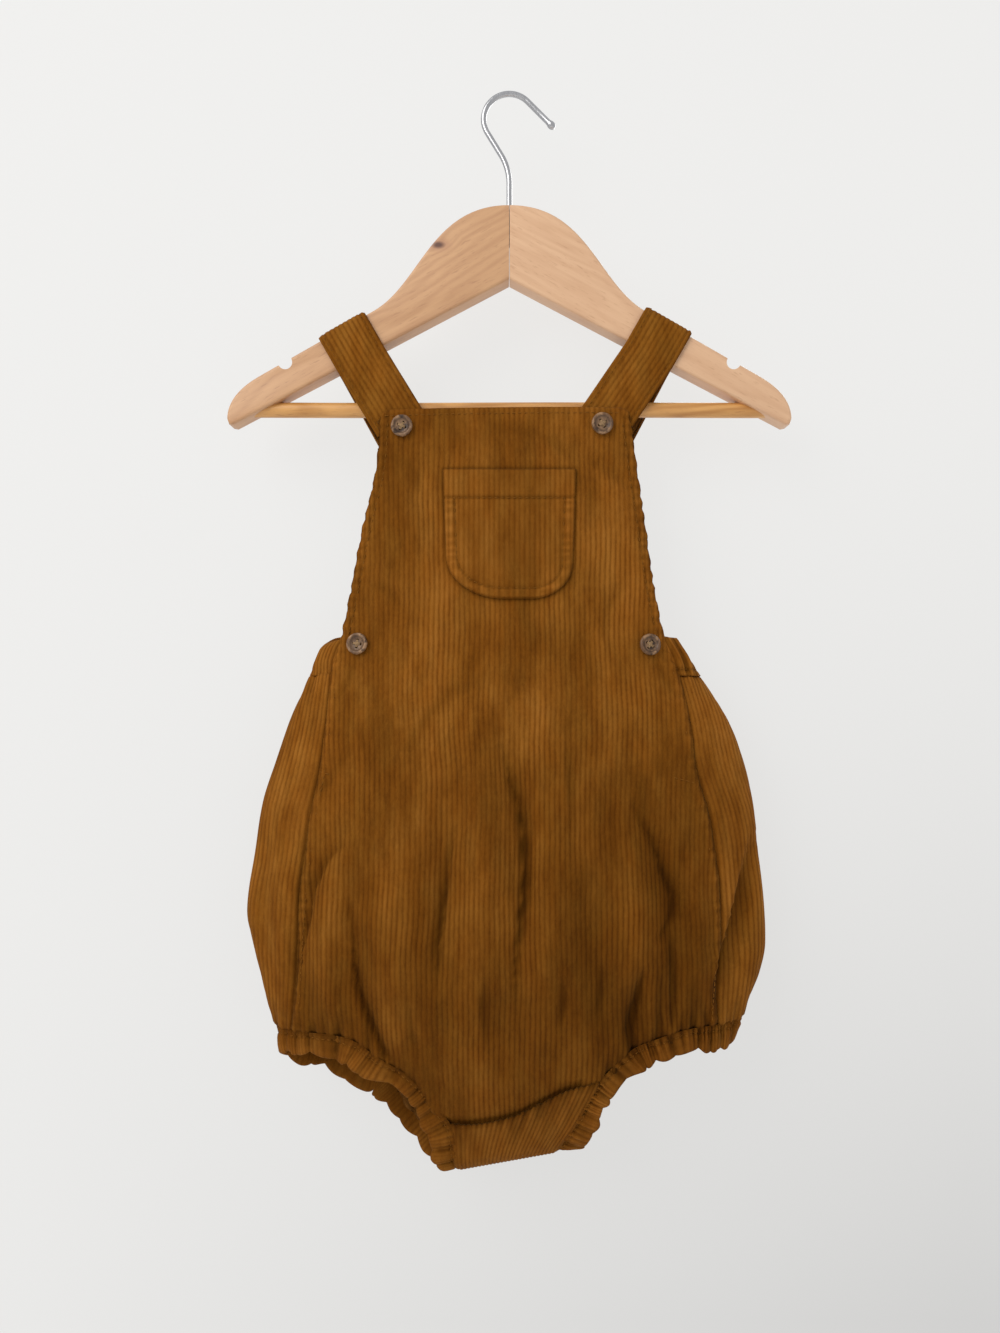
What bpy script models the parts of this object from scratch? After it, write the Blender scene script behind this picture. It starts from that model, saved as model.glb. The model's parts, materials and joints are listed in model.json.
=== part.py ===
"""A baby's corduroy bib romper hanging flat on a child's wooden clothes hanger.

The romper is a front panel with its bib, a back panel, a gathered back waist, two straps that go over the
hanger's arms and cross behind, a chest pocket, side plackets, a crotch band that folds from the back over the
front, two gathered leg bands and four buttons. The hanger is two arms, a trouser bar and a wire hook.

The design tables are in millimetres and the meshes in metres. +X is right, +Z up, and the front faces -Y. The
origin is the underside of the hook's crown, where a rail or a peg carries it.
"""

import math
from collections import namedtuple

import bmesh
import bpy
import numpy as np
from mathutils import Matrix, Vector

MM = 0.001

# Gaps between pieces
SEAM_GAP = 0.6
REST_GAP = 0.35

# Wooden hanger
ARM_TOP_Z = -60.8
ARM_THICKNESS = 13.0
ARM_EDGE_RADIUS = 1.5
ARM_SLOPE = -0.572
ARM_LOWER_Z, ARM_LOWER_SLOPE = -39.5, -0.527
JOINT_HALF_GAP = 0.15
NOTCH_X, NOTCH_RADIUS, NOTCH_DEPTH = 119.5, 3.75, 4.5
BAR_Z, BAR_RADIUS, BAR_HALF_LENGTH = -168.6, 4.0, 140.7

# Wire hook
WIRE_RADIUS = 1.5
HOOK_RADIUS = 13.8
HOOK_CENTRE_Z = WIRE_RADIUS - HOOK_RADIUS
HOOK_TIP_ANGLE, HOOK_NECK_ANGLE = math.radians(45), math.radians(211.7)
HOOK_TIP_RUN = 20.5
HOOK_FILLET = 8.6
HOOK_SUNK = 20.0
HOLE_PAST_TOP = 5.0
BALL_GROWTH = 1.35

# Cloth
CLOTH = 1.8
RING_POWER = 2.5
FOLD_FADE = 0.35
BIB_TOP_LEFT_Z, BIB_TOP_RIGHT_Z = -171.0, -169.4
BIB_CORNER = 2.0
BACK_TOP_Z = -310.0
HEM_RING_Z = -500.0
BODY_ROWS = 17
WAIST_CENTRE_RISE = 5.5
WAIST_TOP_Z, WAIST_THICKNESS = -292.0, 2.6
WAIST_GATHERS, WAIST_GATHER_DEPTH = 22, 0.9
LEG_GATHERS, LEG_GATHER_DEPTH = 27, 1.2
LEG_BAND_WIDTH, LEG_BAND_THICKNESS, LEG_BAND_GAP = 11.0, 3.0, 0.9
STATIONS_PER_GATHER = 4
PLACKET_TOP_Z, PLACKET_LOW_Z, PLACKET_WIDTH, PLACKET_THICKNESS = -297.0, -370.0, 14.0, 1.5
PLACKET_INSET = 2.0
CROTCH_TOP_WAVE = 1.6

# Chest pocket
POCKET_TOP_Z, POCKET_LOW_Z = -202.7, -271.0
POCKET_TOP_HALF, POCKET_LOW_HALF, POCKET_CORNER = 35.1, 32.4, 18.0
POCKET_THICKNESS = 1.4

# Straps
STRAP_WIDTH, STRAP_THICKNESS = 28.0, 2.2
STRAP_STRAIGHT = 20.0
STRAP_END_PAST_BUTTON = 10.0
STRAP_TUCK_GAP = 0.75
STRAP_TUCK_Z, STRAP_CLEAR_Z = -169.0, -152.0
STRAP_COLUMNS = 4

# Buttons
BUTTON_HOLE_RADIUS, BUTTON_HOLE_OFFSET = 0.8, 1.3

# Half widths to the left and right, and how far the outside stands in front of and behind the hanger's plane
Ring = namedtuple("Ring", "z left right front back")
RINGS = (
    Ring(-150, 98, 94, 12.2, 12),
    Ring(-230, 98, 92, 12.6, 14),
    Ring(-280, 96.5, 91, 13.5, 16),
    Ring(-292, 96, 90.6, 14, 16),
    Ring(-314, 106.7, 104.6, 18, 17),
    Ring(-335, 115.3, 117.5, 22, 19),
    Ring(-357, 123.9, 125.6, 26, 22),
    Ring(-378, 132, 130.4, 29, 24),
    Ring(-405, 136.3, 133.6, 31, 26),
    Ring(-437, 140.6, 136.8, 32, 27),
    Ring(-454, 137.4, 137.4, 32, 27),
    Ring(-470, 133.6, 134.7, 31, 26),
    Ring(-486, 129.9, 129.3, 29, 24),
    Ring(-505, 125, 122, 26, 21),
    Ring(-530, 120, 115, 20, 16),
    Ring(-545, 116, 110, 15.5, 13),
    Ring(-560, 112, 105, 12, 10),
    Ring(-575, 105, 100, 9, 7),
)

# The front panel's side edges: bib above the waist, side seams below it
Edge = namedtuple("Edge", "z left right")
FRONT_EDGES = (
    Edge(-170, 68.5, 63.3),
    Edge(-203, 71, 67.9),
    Edge(-234, 78.4, 72.6),
    Edge(-266, 84.7, 77.4),
    Edge(-292, 90.5, 83.5),
    Edge(-303, 94, 88),
    Edge(-318, 95.3, 91.8),
    Edge(-338, 96.8, 95.3),
    Edge(-361, 99.3, 97.6),
    Edge(-383, 103.5, 103.6),
    Edge(-403, 106, 106.8),
    Edge(-420, 108.4, 108.8),
    Edge(-450, 110.3, 109.6),
    Edge(-483, 113, 108.6),
    Edge(-500, 115.8, 108.9),
)

Hem = namedtuple("Hem", "x z")
FRONT_HEM = (
    Hem(-115.8, -500),
    Hem(-95, -499.5),
    Hem(-85, -500),
    Hem(-76, -504.5),
    Hem(-69.5, -511),
    Hem(-59, -516),
    Hem(-52, -520.5),
    Hem(-45, -529),
    Hem(-38, -538),
    Hem(-32, -546),
    Hem(-25, -551),
    Hem(-13, -549),
    Hem(2, -545.5),
    Hem(16, -537),
    Hem(27, -531),
    Hem(40, -528),
    Hem(46.8, -524),
    Hem(51.5, -517.5),
    Hem(58, -511.5),
    Hem(64, -505),
    Hem(77, -501),
    Hem(89, -497),
    Hem(109, -496),
)
BACK_HEM = (
    Hem(-127, -499.5),
    Hem(-115, -500),
    Hem(-95, -505),
    Hem(-80, -510),
    Hem(-68, -517),
    Hem(-58, -524),
    Hem(-48, -533),
    Hem(-40, -543),
    Hem(-33, -551),
    Hem(0, -551.5),
    Hem(33, -551),
    Hem(41, -541),
    Hem(50, -530),
    Hem(60, -519),
    Hem(70, -511),
    Hem(85, -504),
    Hem(98, -499),
    Hem(109, -496),
    Hem(123, -495.5),
)

# Each fold runs through three points; a positive depth is a trough, a negative one a ridge
Fold = namedtuple("Fold", "top_x top_z mid_x mid_z low_x low_z depth width")
FRONT_FOLDS = (
    Fold(-7.5, -318, 6.2, -400, 2.6, -470, 6.5, 7),
    Fold(-20, -325, -13, -395, -16, -462, -3, 8),
    Fold(-27.9, -350, -35.5, -430, -37, -472, 4, 9),
    Fold(-58, -410, -57, -455, -52, -500, -3.5, 11),
    Fold(-83.7, -405, -76.6, -466, -68, -504, 6.5, 6.5),
    Fold(-94, -410, -95, -450, -92, -492, -2.5, 7),
    Fold(-82, -385, -101, -418, -111, -484, 3.5, 7),
    Fold(24, -350, 26, -410, 24, -470, -2.5, 12),
    Fold(40.7, -415, 43, -453, 45.8, -490, 3, 9),
    Fold(62, -395, 63, -440, 57, -488, -2.5, 8),
    Fold(64.6, -372, 81.9, -425, 82.9, -494, 6.5, 7),
    Fold(66.6, -460, 64.8, -480, 63, -500, 4, 5),
    Fold(94, -400, 97, -445, 95, -488, -2, 6),
    Fold(-5, -470, -3, -492, -1, -520, 3.5, 8),
    Fold(-33, -272, -22, -296, -8, -330, 1.5, 9),
    Fold(28, -276, 16, -300, 2, -338, 1.5, 9),
    Fold(34, -188, 54, -202, 69, -220, 1.3, 6),
    Fold(129, -395, 121, -448, 109, -490, 3, 6),
    Fold(-126, -380, -128, -440, -121, -488, 2.5, 6),
)
BACK_FOLDS = (
    Fold(-88, -322, -96, -400, -84, -492, 4, 9),
    Fold(-58, -318, -66, -390, -60, -470, 5, 8),
    Fold(-28, -325, -22, -410, -14, -500, 4.5, 9),
    Fold(12, -316, 20, -380, 12, -460, 5, 8),
    Fold(42, -322, 38, -420, 30, -505, 4, 9),
    Fold(70, -318, 78, -400, 70, -490, 5, 8),
    Fold(100, -340, 104, -420, 96, -488, 4, 8),
)

# The crotch band's rows, from its top edge on the front round the bottom to the back. lies names the panel
# that a row lies on.
CrotchRow = namedtuple("CrotchRow", "left_x left_z right_x right_z y lies")
CROTCH_ROWS = (
    CrotchRow(-31, -545.5, 46.8, -521, 0, "front"),
    CrotchRow(-30.5, -553, 41, -534, 0, "front"),
    CrotchRow(-30, -561, 34.5, -547, 0, "front"),
    CrotchRow(-29.3, -568, 29, -557, -12.5, ""),
    CrotchRow(-28.5, -573.5, 26.5, -563.5, -7.5, ""),
    CrotchRow(-28, -576, 26, -566.5, 0, ""),
    CrotchRow(-28.5, -573, 27, -564.5, 6.5, ""),
    CrotchRow(-30, -564, 29, -560, 9.8, ""),
    CrotchRow(-32, -553, 33, -553, 11.4, ""),
)

# Where each strap crosses its arm's top edge, its button on the bib, and its end at the back waist
Strap = namedtuple("Strap", "name side arm_x arm_z button_x button_z end_x")
STRAPS = (
    Strap("strap_right", 1, 84, -124, 48.6, -178.8, -11),
    Strap("strap_left", -1, -88.5, -126.5, -56.5, -179.9, 9),
)
STRAP_END_Z = -304.0

# The depth of each strap's inner face behind the hanger, from the arm down to the waist
Run = namedtuple("Run", "z right left")
STRAP_BACK_RUN = (Run(-141, 6.85, 6.85), Run(-200, 8.7, 7.6), Run(-248, 10.9, 8.3), Run(-306, 10.9, 8.3))

ButtonPlace = namedtuple("ButtonPlace", "name x z")
BUTTONS = (
    ButtonPlace("button_bib_left", -56.5, -179.9),
    ButtonPlace("button_bib_right", 48.6, -178.8),
    ButtonPlace("button_waist_left", -79.9, -294.6),
    ButtonPlace("button_waist_right", 73.6, -295.1),
)

# A button's section, from the middle of its dished face over the rim to the middle of its back
Turn = namedtuple("Turn", "radius height")
BUTTON_SECTION = (
    Turn(0, 1.5),
    Turn(3.3, 1.6),
    Turn(4.3, 2.5),
    Turn(5.1, 2.6),
    Turn(5.75, 1.9),
    Turn(5.6, 0.7),
    Turn(4.6, 0),
    Turn(0, 0),
)


def smoothstep(t):
    t = np.clip(t, 0, 1)
    return t * t * (3 - 2 * t)


def curve(stations, values):
    """A smooth curve through the values at rising stations, as a function. It overshoots none of them."""
    stations, values = np.asarray(stations, float), np.asarray(values, float)
    secants = np.diff(values, axis=0) / np.diff(stations).reshape((-1,) + (1,) * (values.ndim - 1))
    before, after = np.concatenate([secants[:1], secants]), np.concatenate([secants, secants[-1:]])
    limit = 3 * np.minimum(np.abs(before), np.abs(after))
    slopes = np.where(before * after > 0, np.clip((before + after) / 2, -limit, limit), 0)

    def read(at):
        at = np.clip(at, stations[0], stations[-1])
        i = np.clip(np.searchsorted(stations, at) - 1, 0, len(stations) - 2)
        wide = np.shape(at) + (1,) * (values.ndim - 1)
        step = (stations[i + 1] - stations[i]).reshape(wide)
        t = ((at - stations[i]) / (stations[i + 1] - stations[i])).reshape(wide)
        start = (1 + 2 * t) * (1 - t) ** 2 * values[i] + t * (1 - t) ** 2 * step * slopes[i]
        return start + t * t * (3 - 2 * t) * values[i + 1] + t * t * (t - 1) * step * slopes[i + 1]

    return read


def column(rows, key, value):
    """One column of a table as a smooth curve along another."""
    rows = sorted(rows, key=lambda row: getattr(row, key))
    return curve([getattr(row, key) for row in rows], [getattr(row, value) for row in rows])


ring_left, ring_right = column(RINGS, "z", "left"), column(RINGS, "z", "right")
ring_front, ring_back = column(RINGS, "z", "front"), column(RINGS, "z", "back")
edge_left, edge_right = column(FRONT_EDGES, "z", "left"), column(FRONT_EDGES, "z", "right")
front_hem, back_hem = column(FRONT_HEM, "x", "z"), column(BACK_HEM, "x", "z")


def crease(folds, x, z):
    """How far a table's folds push the cloth in at a place, each fading out towards its two ends."""
    total = np.zeros(np.broadcast(x, z).shape)
    for fold in folds:
        xs = (fold.top_x, fold.mid_x, fold.low_x)
        zs = (fold.top_z, fold.mid_z, fold.low_z)
        line = np.polyval(np.polyfit(zs, xs, 2), np.clip(z, fold.low_z, fold.top_z))
        along = np.clip((fold.top_z - z) / (fold.top_z - fold.low_z), 0, 1)
        total = total + fold.depth * np.sin(np.pi * along) ** 0.8 * np.exp(-(((x - line) / fold.width) ** 2))
    return total


def skin(angle, z):
    """The outside at an angle round it (0 is +X, a quarter turn the middle of the back) and a height."""
    across, through = np.cos(angle), np.sin(angle)
    half = np.where(across >= 0, ring_right(z), ring_left(z))
    depth = np.where(through >= 0, ring_back(z), ring_front(z))
    x = half * np.sign(across) * np.abs(across) ** (2 / RING_POWER)
    pushed = np.where(through < 0, crease(FRONT_FOLDS, x, z), -crease(BACK_FOLDS, x, z))
    y = depth * through + pushed * smoothstep(np.abs(through) / FOLD_FADE)
    return np.stack(np.broadcast_arrays(x, y, z), axis=-1)


def front_angle(x, z):
    """The angle at which the romper's front passes an x."""
    half = np.where(x >= 0, ring_right(z), ring_left(z))
    return -np.arccos(np.sign(x) * (np.abs(x) / half) ** (RING_POWER / 2))


def front_skin(x, z):
    return skin(front_angle(x, z), z)


def back_skin(share, z):
    """The outside at a share of the way round the back, from the right side seam to the left one."""
    seam_z = np.maximum(z, HEM_RING_Z)
    start = front_angle(edge_right(seam_z) + SEAM_GAP, seam_z)
    end = 2 * np.pi + front_angle(-edge_left(seam_z) - SEAM_GAP, seam_z)
    angles = np.linspace(start, end, 240)
    steps = np.linalg.norm(np.diff(skin(angles, z), axis=0), axis=1)
    travelled = np.concatenate([[0], np.cumsum(steps)])
    return skin(np.interp(share * travelled[-1], travelled, angles), z)


def outward(grid, closed=False):
    """A grid's unit normals. Its rows run down and its columns to the right, seen from outside."""
    down = np.gradient(grid, axis=0)
    if closed:
        right = (np.roll(grid, -1, axis=1) - np.roll(grid, 1, axis=1)) / 2
    else:
        right = np.gradient(grid, axis=1)
    normals = np.cross(down, right)
    return normals / np.linalg.norm(normals, axis=-1, keepdims=True)


def material(name, colour, roughness, metallic=0.0):
    finish = bpy.data.materials.new(name)
    finish.use_nodes = True
    shader = finish.node_tree.nodes["Principled BSDF"]
    shader.inputs["Base Color"].default_value = (*colour, 1)
    shader.inputs["Roughness"].default_value = roughness
    shader.inputs["Metallic"].default_value = metallic
    finish.diffuse_color = (*colour, 1)
    return finish


def add_object(name, shape, finish, smooth_angle=40):
    """Makes a bmesh an object, smooth but for its sharp edges."""
    mesh = bpy.data.meshes.new(name)
    shape.to_mesh(mesh)
    shape.free()
    mesh.materials.append(finish)
    mesh.shade_smooth()
    mesh.set_sharp_from_angle(angle=math.radians(smooth_angle))
    thing = bpy.data.objects.new(name, mesh)
    bpy.context.scene.collection.objects.link(thing)
    return thing


def wall(name, outer, inner, finish, closed=False):
    """A closed wall between two grids of points. A closed one runs round in its columns."""
    shape = bmesh.new()
    rows, columns = outer.shape[:2]
    faces = [[[shape.verts.new(point * MM) for point in row] for row in grid] for grid in (outer, inner)]
    last = columns if closed else columns - 1
    for grid in faces:
        for upper, lower in zip(grid, grid[1:]):
            for j in range(last):
                k = (j + 1) % columns
                shape.faces.new((upper[j], lower[j], lower[k], upper[k]))
    for i in (0, rows - 1):
        for j in range(last):
            k = (j + 1) % columns
            shape.faces.new((faces[0][i][j], faces[0][i][k], faces[1][i][k], faces[1][i][j]))
    for j in () if closed else (0, columns - 1):
        for i in range(rows - 1):
            shape.faces.new((faces[0][i][j], faces[0][i + 1][j], faces[1][i + 1][j], faces[1][i][j]))
    bmesh.ops.recalc_face_normals(shape, faces=shape.faces)
    return add_object(name, shape, finish)


def cylinder_cutter(name, start, end, radius, sides=20):
    """A hidden round cutter between two points."""
    start, end = Vector(start) * MM, Vector(end) * MM
    turn = Vector((0, 0, 1)).rotation_difference(end - start).to_matrix().to_4x4()
    shape = bmesh.new()
    bmesh.ops.create_cone(
        shape,
        cap_ends=True,
        segments=sides,
        radius1=radius * MM,
        radius2=radius * MM,
        depth=(end - start).length,
        matrix=Matrix.Translation((start + end) / 2) @ turn,
    )
    return add_cutter(name, shape)


def add_cutter(name, shape):
    mesh = bpy.data.meshes.new(name)
    shape.to_mesh(mesh)
    shape.free()
    cutter = bpy.data.objects.new(name, mesh)
    cutter.hide_render = True
    cutter.display_type = "WIRE"
    bpy.context.scene.collection.objects.link(cutter)
    return cutter


def cut(thing, cutter):
    modifier = thing.modifiers.new("Cut", "BOOLEAN")
    modifier.operation = "DIFFERENCE"
    modifier.solver = "EXACT"
    modifier.object = cutter


def bezier(a, b, c, d, count):
    t = np.linspace(0, 1, count)[:, None]
    a, b, c, d = (np.array(point, float) for point in (a, b, c, d))
    return (1 - t) ** 3 * a + 3 * t * (1 - t) ** 2 * b + 3 * t * t * (1 - t) * c + t**3 * d


def arm_outline():
    """The right arm's outline in x and z, from the joint's top round the tip and back along its foot."""
    shoulder = bezier((JOINT_HALF_GAP, 0), (42, 0), (47.2, -42), (72.2, -56.3), 11)
    tip_start = np.array((133, shoulder[-1, 1] + ARM_SLOPE * (133 - shoulder[-1, 0])))
    along = np.array((1, ARM_SLOPE)) / math.hypot(1, ARM_SLOPE)
    inward = np.array((along[1], -along[0]))
    middle = np.array((NOTCH_X, shoulder[-1, 1] + ARM_SLOPE * (NOTCH_X - shoulder[-1, 0])))
    turns = np.linspace(np.pi, 2 * np.pi, 6)[:, None]
    straight = NOTCH_DEPTH - NOTCH_RADIUS
    bowl = middle + along * NOTCH_RADIUS * np.cos(turns) + inward * (straight - NOTCH_RADIUS * np.sin(turns))
    lips = [middle - along * (NOTCH_RADIUS + 0.4), middle + along * (NOTCH_RADIUS + 0.4)]
    tip = bezier(tip_start, (143, -96.8), (150, -104), (150.2, -113.6), 6)
    corner = [(149.2, -116.6), (147, ARM_LOWER_Z + ARM_LOWER_SLOPE * 147)]
    low = [(JOINT_HALF_GAP, ARM_LOWER_Z + ARM_LOWER_SLOPE * JOINT_HALF_GAP)]
    return np.concatenate([shoulder, lips[:1], bowl, lips[1:], tip, corner, low])


def make_arm(name, side, finish, cutters):
    """One wooden arm: the outline extruded to its thickness, rounded along its edges but not at the joint."""
    shape = bmesh.new()
    outline = arm_outline()
    outline[:, 0] *= side
    outline[:, 1] += ARM_TOP_Z
    front = [shape.verts.new((x * MM, -ARM_THICKNESS / 2 * MM, z * MM)) for x, z in outline]
    face = shape.faces.new(front)
    extruded = bmesh.ops.extrude_face_region(shape, geom=[face])["geom"]
    back = [item for item in extruded if isinstance(item, bmesh.types.BMVert)]
    bmesh.ops.translate(shape, vec=(0, ARM_THICKNESS * MM, 0), verts=back)
    joint = 2 * JOINT_HALF_GAP * MM
    rounded = [
        edge
        for edge in shape.edges
        if abs(edge.verts[0].co.y - edge.verts[1].co.y) < MM / 10
        and max(abs(vert.co.x) for vert in edge.verts) > joint
    ]
    bmesh.ops.bevel(
        shape,
        geom=rounded,
        offset=ARM_EDGE_RADIUS * MM,
        segments=2,
        profile=0.5,
        affect="EDGES",
        material=-1,
    )
    bmesh.ops.recalc_face_normals(shape, faces=shape.faces)
    arm = add_object(name, shape, finish, smooth_angle=35)
    for cutter in cutters:
        cut(arm, cutter)


def make_bar(finish):
    shape = bmesh.new()
    bmesh.ops.create_cone(
        shape,
        cap_ends=True,
        segments=18,
        radius1=BAR_RADIUS * MM,
        radius2=BAR_RADIUS * MM,
        depth=2 * BAR_HALF_LENGTH * MM,
        matrix=Matrix.Translation((0, 0, BAR_Z * MM)) @ Matrix.Rotation(math.pi / 2, 4, "Y"),
    )
    add_object("hanger_bar", shape, finish)


def hook_route():
    """The wire's centre line in x and z, from its ball tip over the crown and down into the wood."""
    centre = np.array((0, HOOK_CENTRE_Z))
    angles = np.linspace(HOOK_TIP_ANGLE, HOOK_NECK_ANGLE, 20)[:, None]
    crown = centre + HOOK_RADIUS * np.concatenate([np.cos(angles), np.sin(angles)], axis=1)
    tip_way = np.array((math.sin(HOOK_TIP_ANGLE), -math.cos(HOOK_TIP_ANGLE)))
    neck_way = np.array((-math.sin(HOOK_NECK_ANGLE), math.cos(HOOK_NECK_ANGLE)))
    tip = [crown[0] + tip_way * HOOK_TIP_RUN * share for share in (1, 0.95, 0.89, 0.83, 0.78, 0.4)]
    bend = crown[-1] - neck_way * (crown[-1, 0] / neck_way[0])
    start, end = bend - neck_way * HOOK_FILLET, bend + np.array((0, -HOOK_FILLET))
    t = np.linspace(0, 1, 6)[:, None]
    fillet = (1 - t) ** 2 * start + 2 * t * (1 - t) * bend + t * t * end
    sunk = [(0, ARM_TOP_Z), (0, ARM_TOP_Z - HOOK_SUNK)]
    return np.concatenate([tip, crown, fillet, sunk])


def make_hook(finish):
    data = bpy.data.curves.new("hook", "CURVE")
    data.dimensions = "3D"
    data.bevel_depth = WIRE_RADIUS * MM
    data.bevel_resolution = 2
    data.use_fill_caps = True
    line = data.splines.new("POLY")
    route = hook_route()
    line.points.add(len(route) - 1)
    for point, (x, z) in zip(line.points, route):
        point.co = (x * MM, 0, z * MM, 1)
    for point, growth in zip(line.points, (0.7, 1.2, BALL_GROWTH, 1.2, 1)):
        point.radius = growth
    data.materials.append(finish)
    bpy.context.scene.collection.objects.link(bpy.data.objects.new("hook", data))


def make_front(finish):
    """The bib and the front body in one, its lower edge following the hem. Returns its outer points."""
    share = np.linspace(0, 1, 27)
    top = BIB_TOP_LEFT_Z + (BIB_TOP_RIGHT_Z - BIB_TOP_LEFT_Z) * share
    top -= BIB_CORNER * np.abs(2 * share - 1) ** 12
    low = front_hem((edge_left(HEM_RING_Z) + edge_right(HEM_RING_Z)) * share - edge_left(HEM_RING_Z))
    bib = np.linspace(0, 1, 12)[:-1, None]
    body = np.linspace(0, 1, BODY_ROWS)[:, None]
    z = np.concatenate([top + (BACK_TOP_Z - top) * bib, BACK_TOP_Z + (low - BACK_TOP_Z) * body])
    left, right = -edge_left(z[:, :1]), edge_right(z[:, -1:])
    outer = front_skin(left + (right - left) * share, z)
    wall("front_panel", outer, outer - CLOTH * outward(outer), finish)
    return outer


def make_back(finish):
    """The back panel, which comes round to the front at both sides. Returns its outer points."""
    shares = np.linspace(0, 1, 29)
    hem = back_hem(np.array([back_skin(share, HEM_RING_Z)[0] for share in shares]))
    rows = []
    for down in np.linspace(0, 1, BODY_ROWS):
        heights = BACK_TOP_Z + (hem - BACK_TOP_Z) * down
        rows.append([back_skin(share, z) for share, z in zip(shares, heights)])
    outer = np.array(rows)
    wall("back_panel", outer, outer - CLOTH * outward(outer), finish)
    return outer


def make_waistband(finish):
    """The elasticated casing at the back waist, gathered on the outside."""
    shares = np.linspace(0, 1, WAIST_GATHERS * STATIONS_PER_GATHER + 1)
    top = WAIST_TOP_Z + WAIST_CENTRE_RISE * np.sin(np.pi * shares)
    low = BACK_TOP_Z + SEAM_GAP
    lines = (top, (top + low) / 2, np.full_like(top, low))
    middle = np.array([[back_skin(share, z) for share, z in zip(shares, line)] for line in lines])
    normals = outward(middle) * (1, 1, 0)
    normals /= np.linalg.norm(normals, axis=-1, keepdims=True)
    ends = smoothstep(np.minimum(shares, 1 - shares) * 12)
    gather = WAIST_GATHER_DEPTH * ends * (np.cos(2 * np.pi * WAIST_GATHERS * shares) - 1) / 2
    raised = gather * np.array((0.6, 1, 0.8))[:, None]
    outer = middle + normals * raised[..., None]
    wall("back_waistband", outer, middle - WAIST_THICKNESS * normals, finish)


def make_plackets(finish):
    """The underlaps that close the sides, behind the front panel's edges."""
    z = np.linspace(PLACKET_TOP_Z, PLACKET_LOW_Z, 8)[:, None]
    inward = np.linspace(PLACKET_WIDTH, 0, 4) + PLACKET_INSET
    sides = (("placket_left", inward[::-1] - edge_left(z)), ("placket_right", edge_right(z) - inward))
    for name, x in sides:
        skin_points = front_skin(x, z)
        normals = outward(skin_points)
        outer = skin_points - (CLOTH + REST_GAP) * normals
        wall(name, outer, outer - PLACKET_THICKNESS * normals, finish)


def make_pocket(finish):
    """The patch pocket, its lower corners round, lying on the bib."""
    corner = POCKET_CORNER * (1 - np.cos(np.linspace(0, np.pi / 2, 6)))
    above = np.concatenate([np.linspace(POCKET_TOP_Z - POCKET_LOW_Z, POCKET_CORNER, 6)[:-1], corner[::-1]])
    share = above / above[0]
    half = POCKET_LOW_HALF + (POCKET_TOP_HALF - POCKET_LOW_HALF) * share
    short = np.clip(POCKET_CORNER - above, 0, None)
    half = half - POCKET_CORNER + np.sqrt(POCKET_CORNER**2 - short**2)
    x = half[:, None] * np.linspace(-1, 1, 11)
    base = front_skin(x, (POCKET_LOW_Z + above)[:, None])
    normals = outward(base)
    wall("chest_pocket", base + (REST_GAP + POCKET_THICKNESS) * normals, base + REST_GAP * normals, finish)


def make_crotch(finish):
    """The band that folds from the back hem under the crotch, over the front. Returns its outer points."""
    share = np.linspace(0, 1, 11)
    rows = []
    for row in CROTCH_ROWS:
        x = row.left_x + (row.right_x - row.left_x) * share
        z = row.left_z + (row.right_z - row.left_z) * share
        y = np.full_like(x, row.y)
        if row.lies == "front":
            z = z - CROTCH_TOP_WAVE * np.sin(2 * np.pi * share)
            y = front_skin(x, z)[:, 1] - REST_GAP - CLOTH
        rows.append(np.stack([x, y, z], axis=-1))
    outer = curve(np.arange(len(rows)), rows)(np.linspace(0, len(rows) - 1, 15))
    wall("crotch_band", outer, outer - CLOTH * outward(outer), finish)
    return outer


def leg_loop(front, crotch, back, side):
    """The edge of one leg opening, as middle points and outward normals, from the side seam onwards."""
    front_edge, front_way = front[-1][::-side], outward(front)[-1][::-side]
    crotch_column = 0 if side < 0 else -1
    crotch_edge, crotch_way = crotch[:, crotch_column], outward(crotch)[:, crotch_column]
    back_edge, back_way = back[-1][::-side], outward(back)[-1][::-side]
    on_front = front_edge[:, 0] * side > abs(crotch_edge[0, 0]) + 1
    on_back = back_edge[:, 0] * side > abs(crotch_edge[-1, 0]) + 1
    edge = np.concatenate([front_edge[on_front], crotch_edge[1:], back_edge[on_back]])
    way = np.concatenate([front_way[on_front], crotch_way[1:], back_way[on_back]])
    edge = edge - way * CLOTH / 2
    closed_edge, closed_way = np.vstack([edge, edge[:1]]), np.vstack([way, way[:1]])
    steps = np.linalg.norm(np.diff(closed_edge, axis=0), axis=1)
    travelled = np.concatenate([[0], np.cumsum(steps)])
    at = np.linspace(0, travelled[-1], LEG_GATHERS * STATIONS_PER_GATHER, endpoint=False)
    edge = np.stack([np.interp(at, travelled, closed_edge[:, k]) for k in range(3)], axis=-1)
    way = np.stack([np.interp(at, travelled, closed_way[:, k]) for k in range(3)], axis=-1)
    for _ in range(3):
        edge = (np.roll(edge, 1, axis=0) + 2 * edge + np.roll(edge, -1, axis=0)) / 4
        way = (np.roll(way, 1, axis=0) + 2 * way + np.roll(way, -1, axis=0)) / 4
    return edge, way / np.linalg.norm(way, axis=1, keepdims=True)


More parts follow.
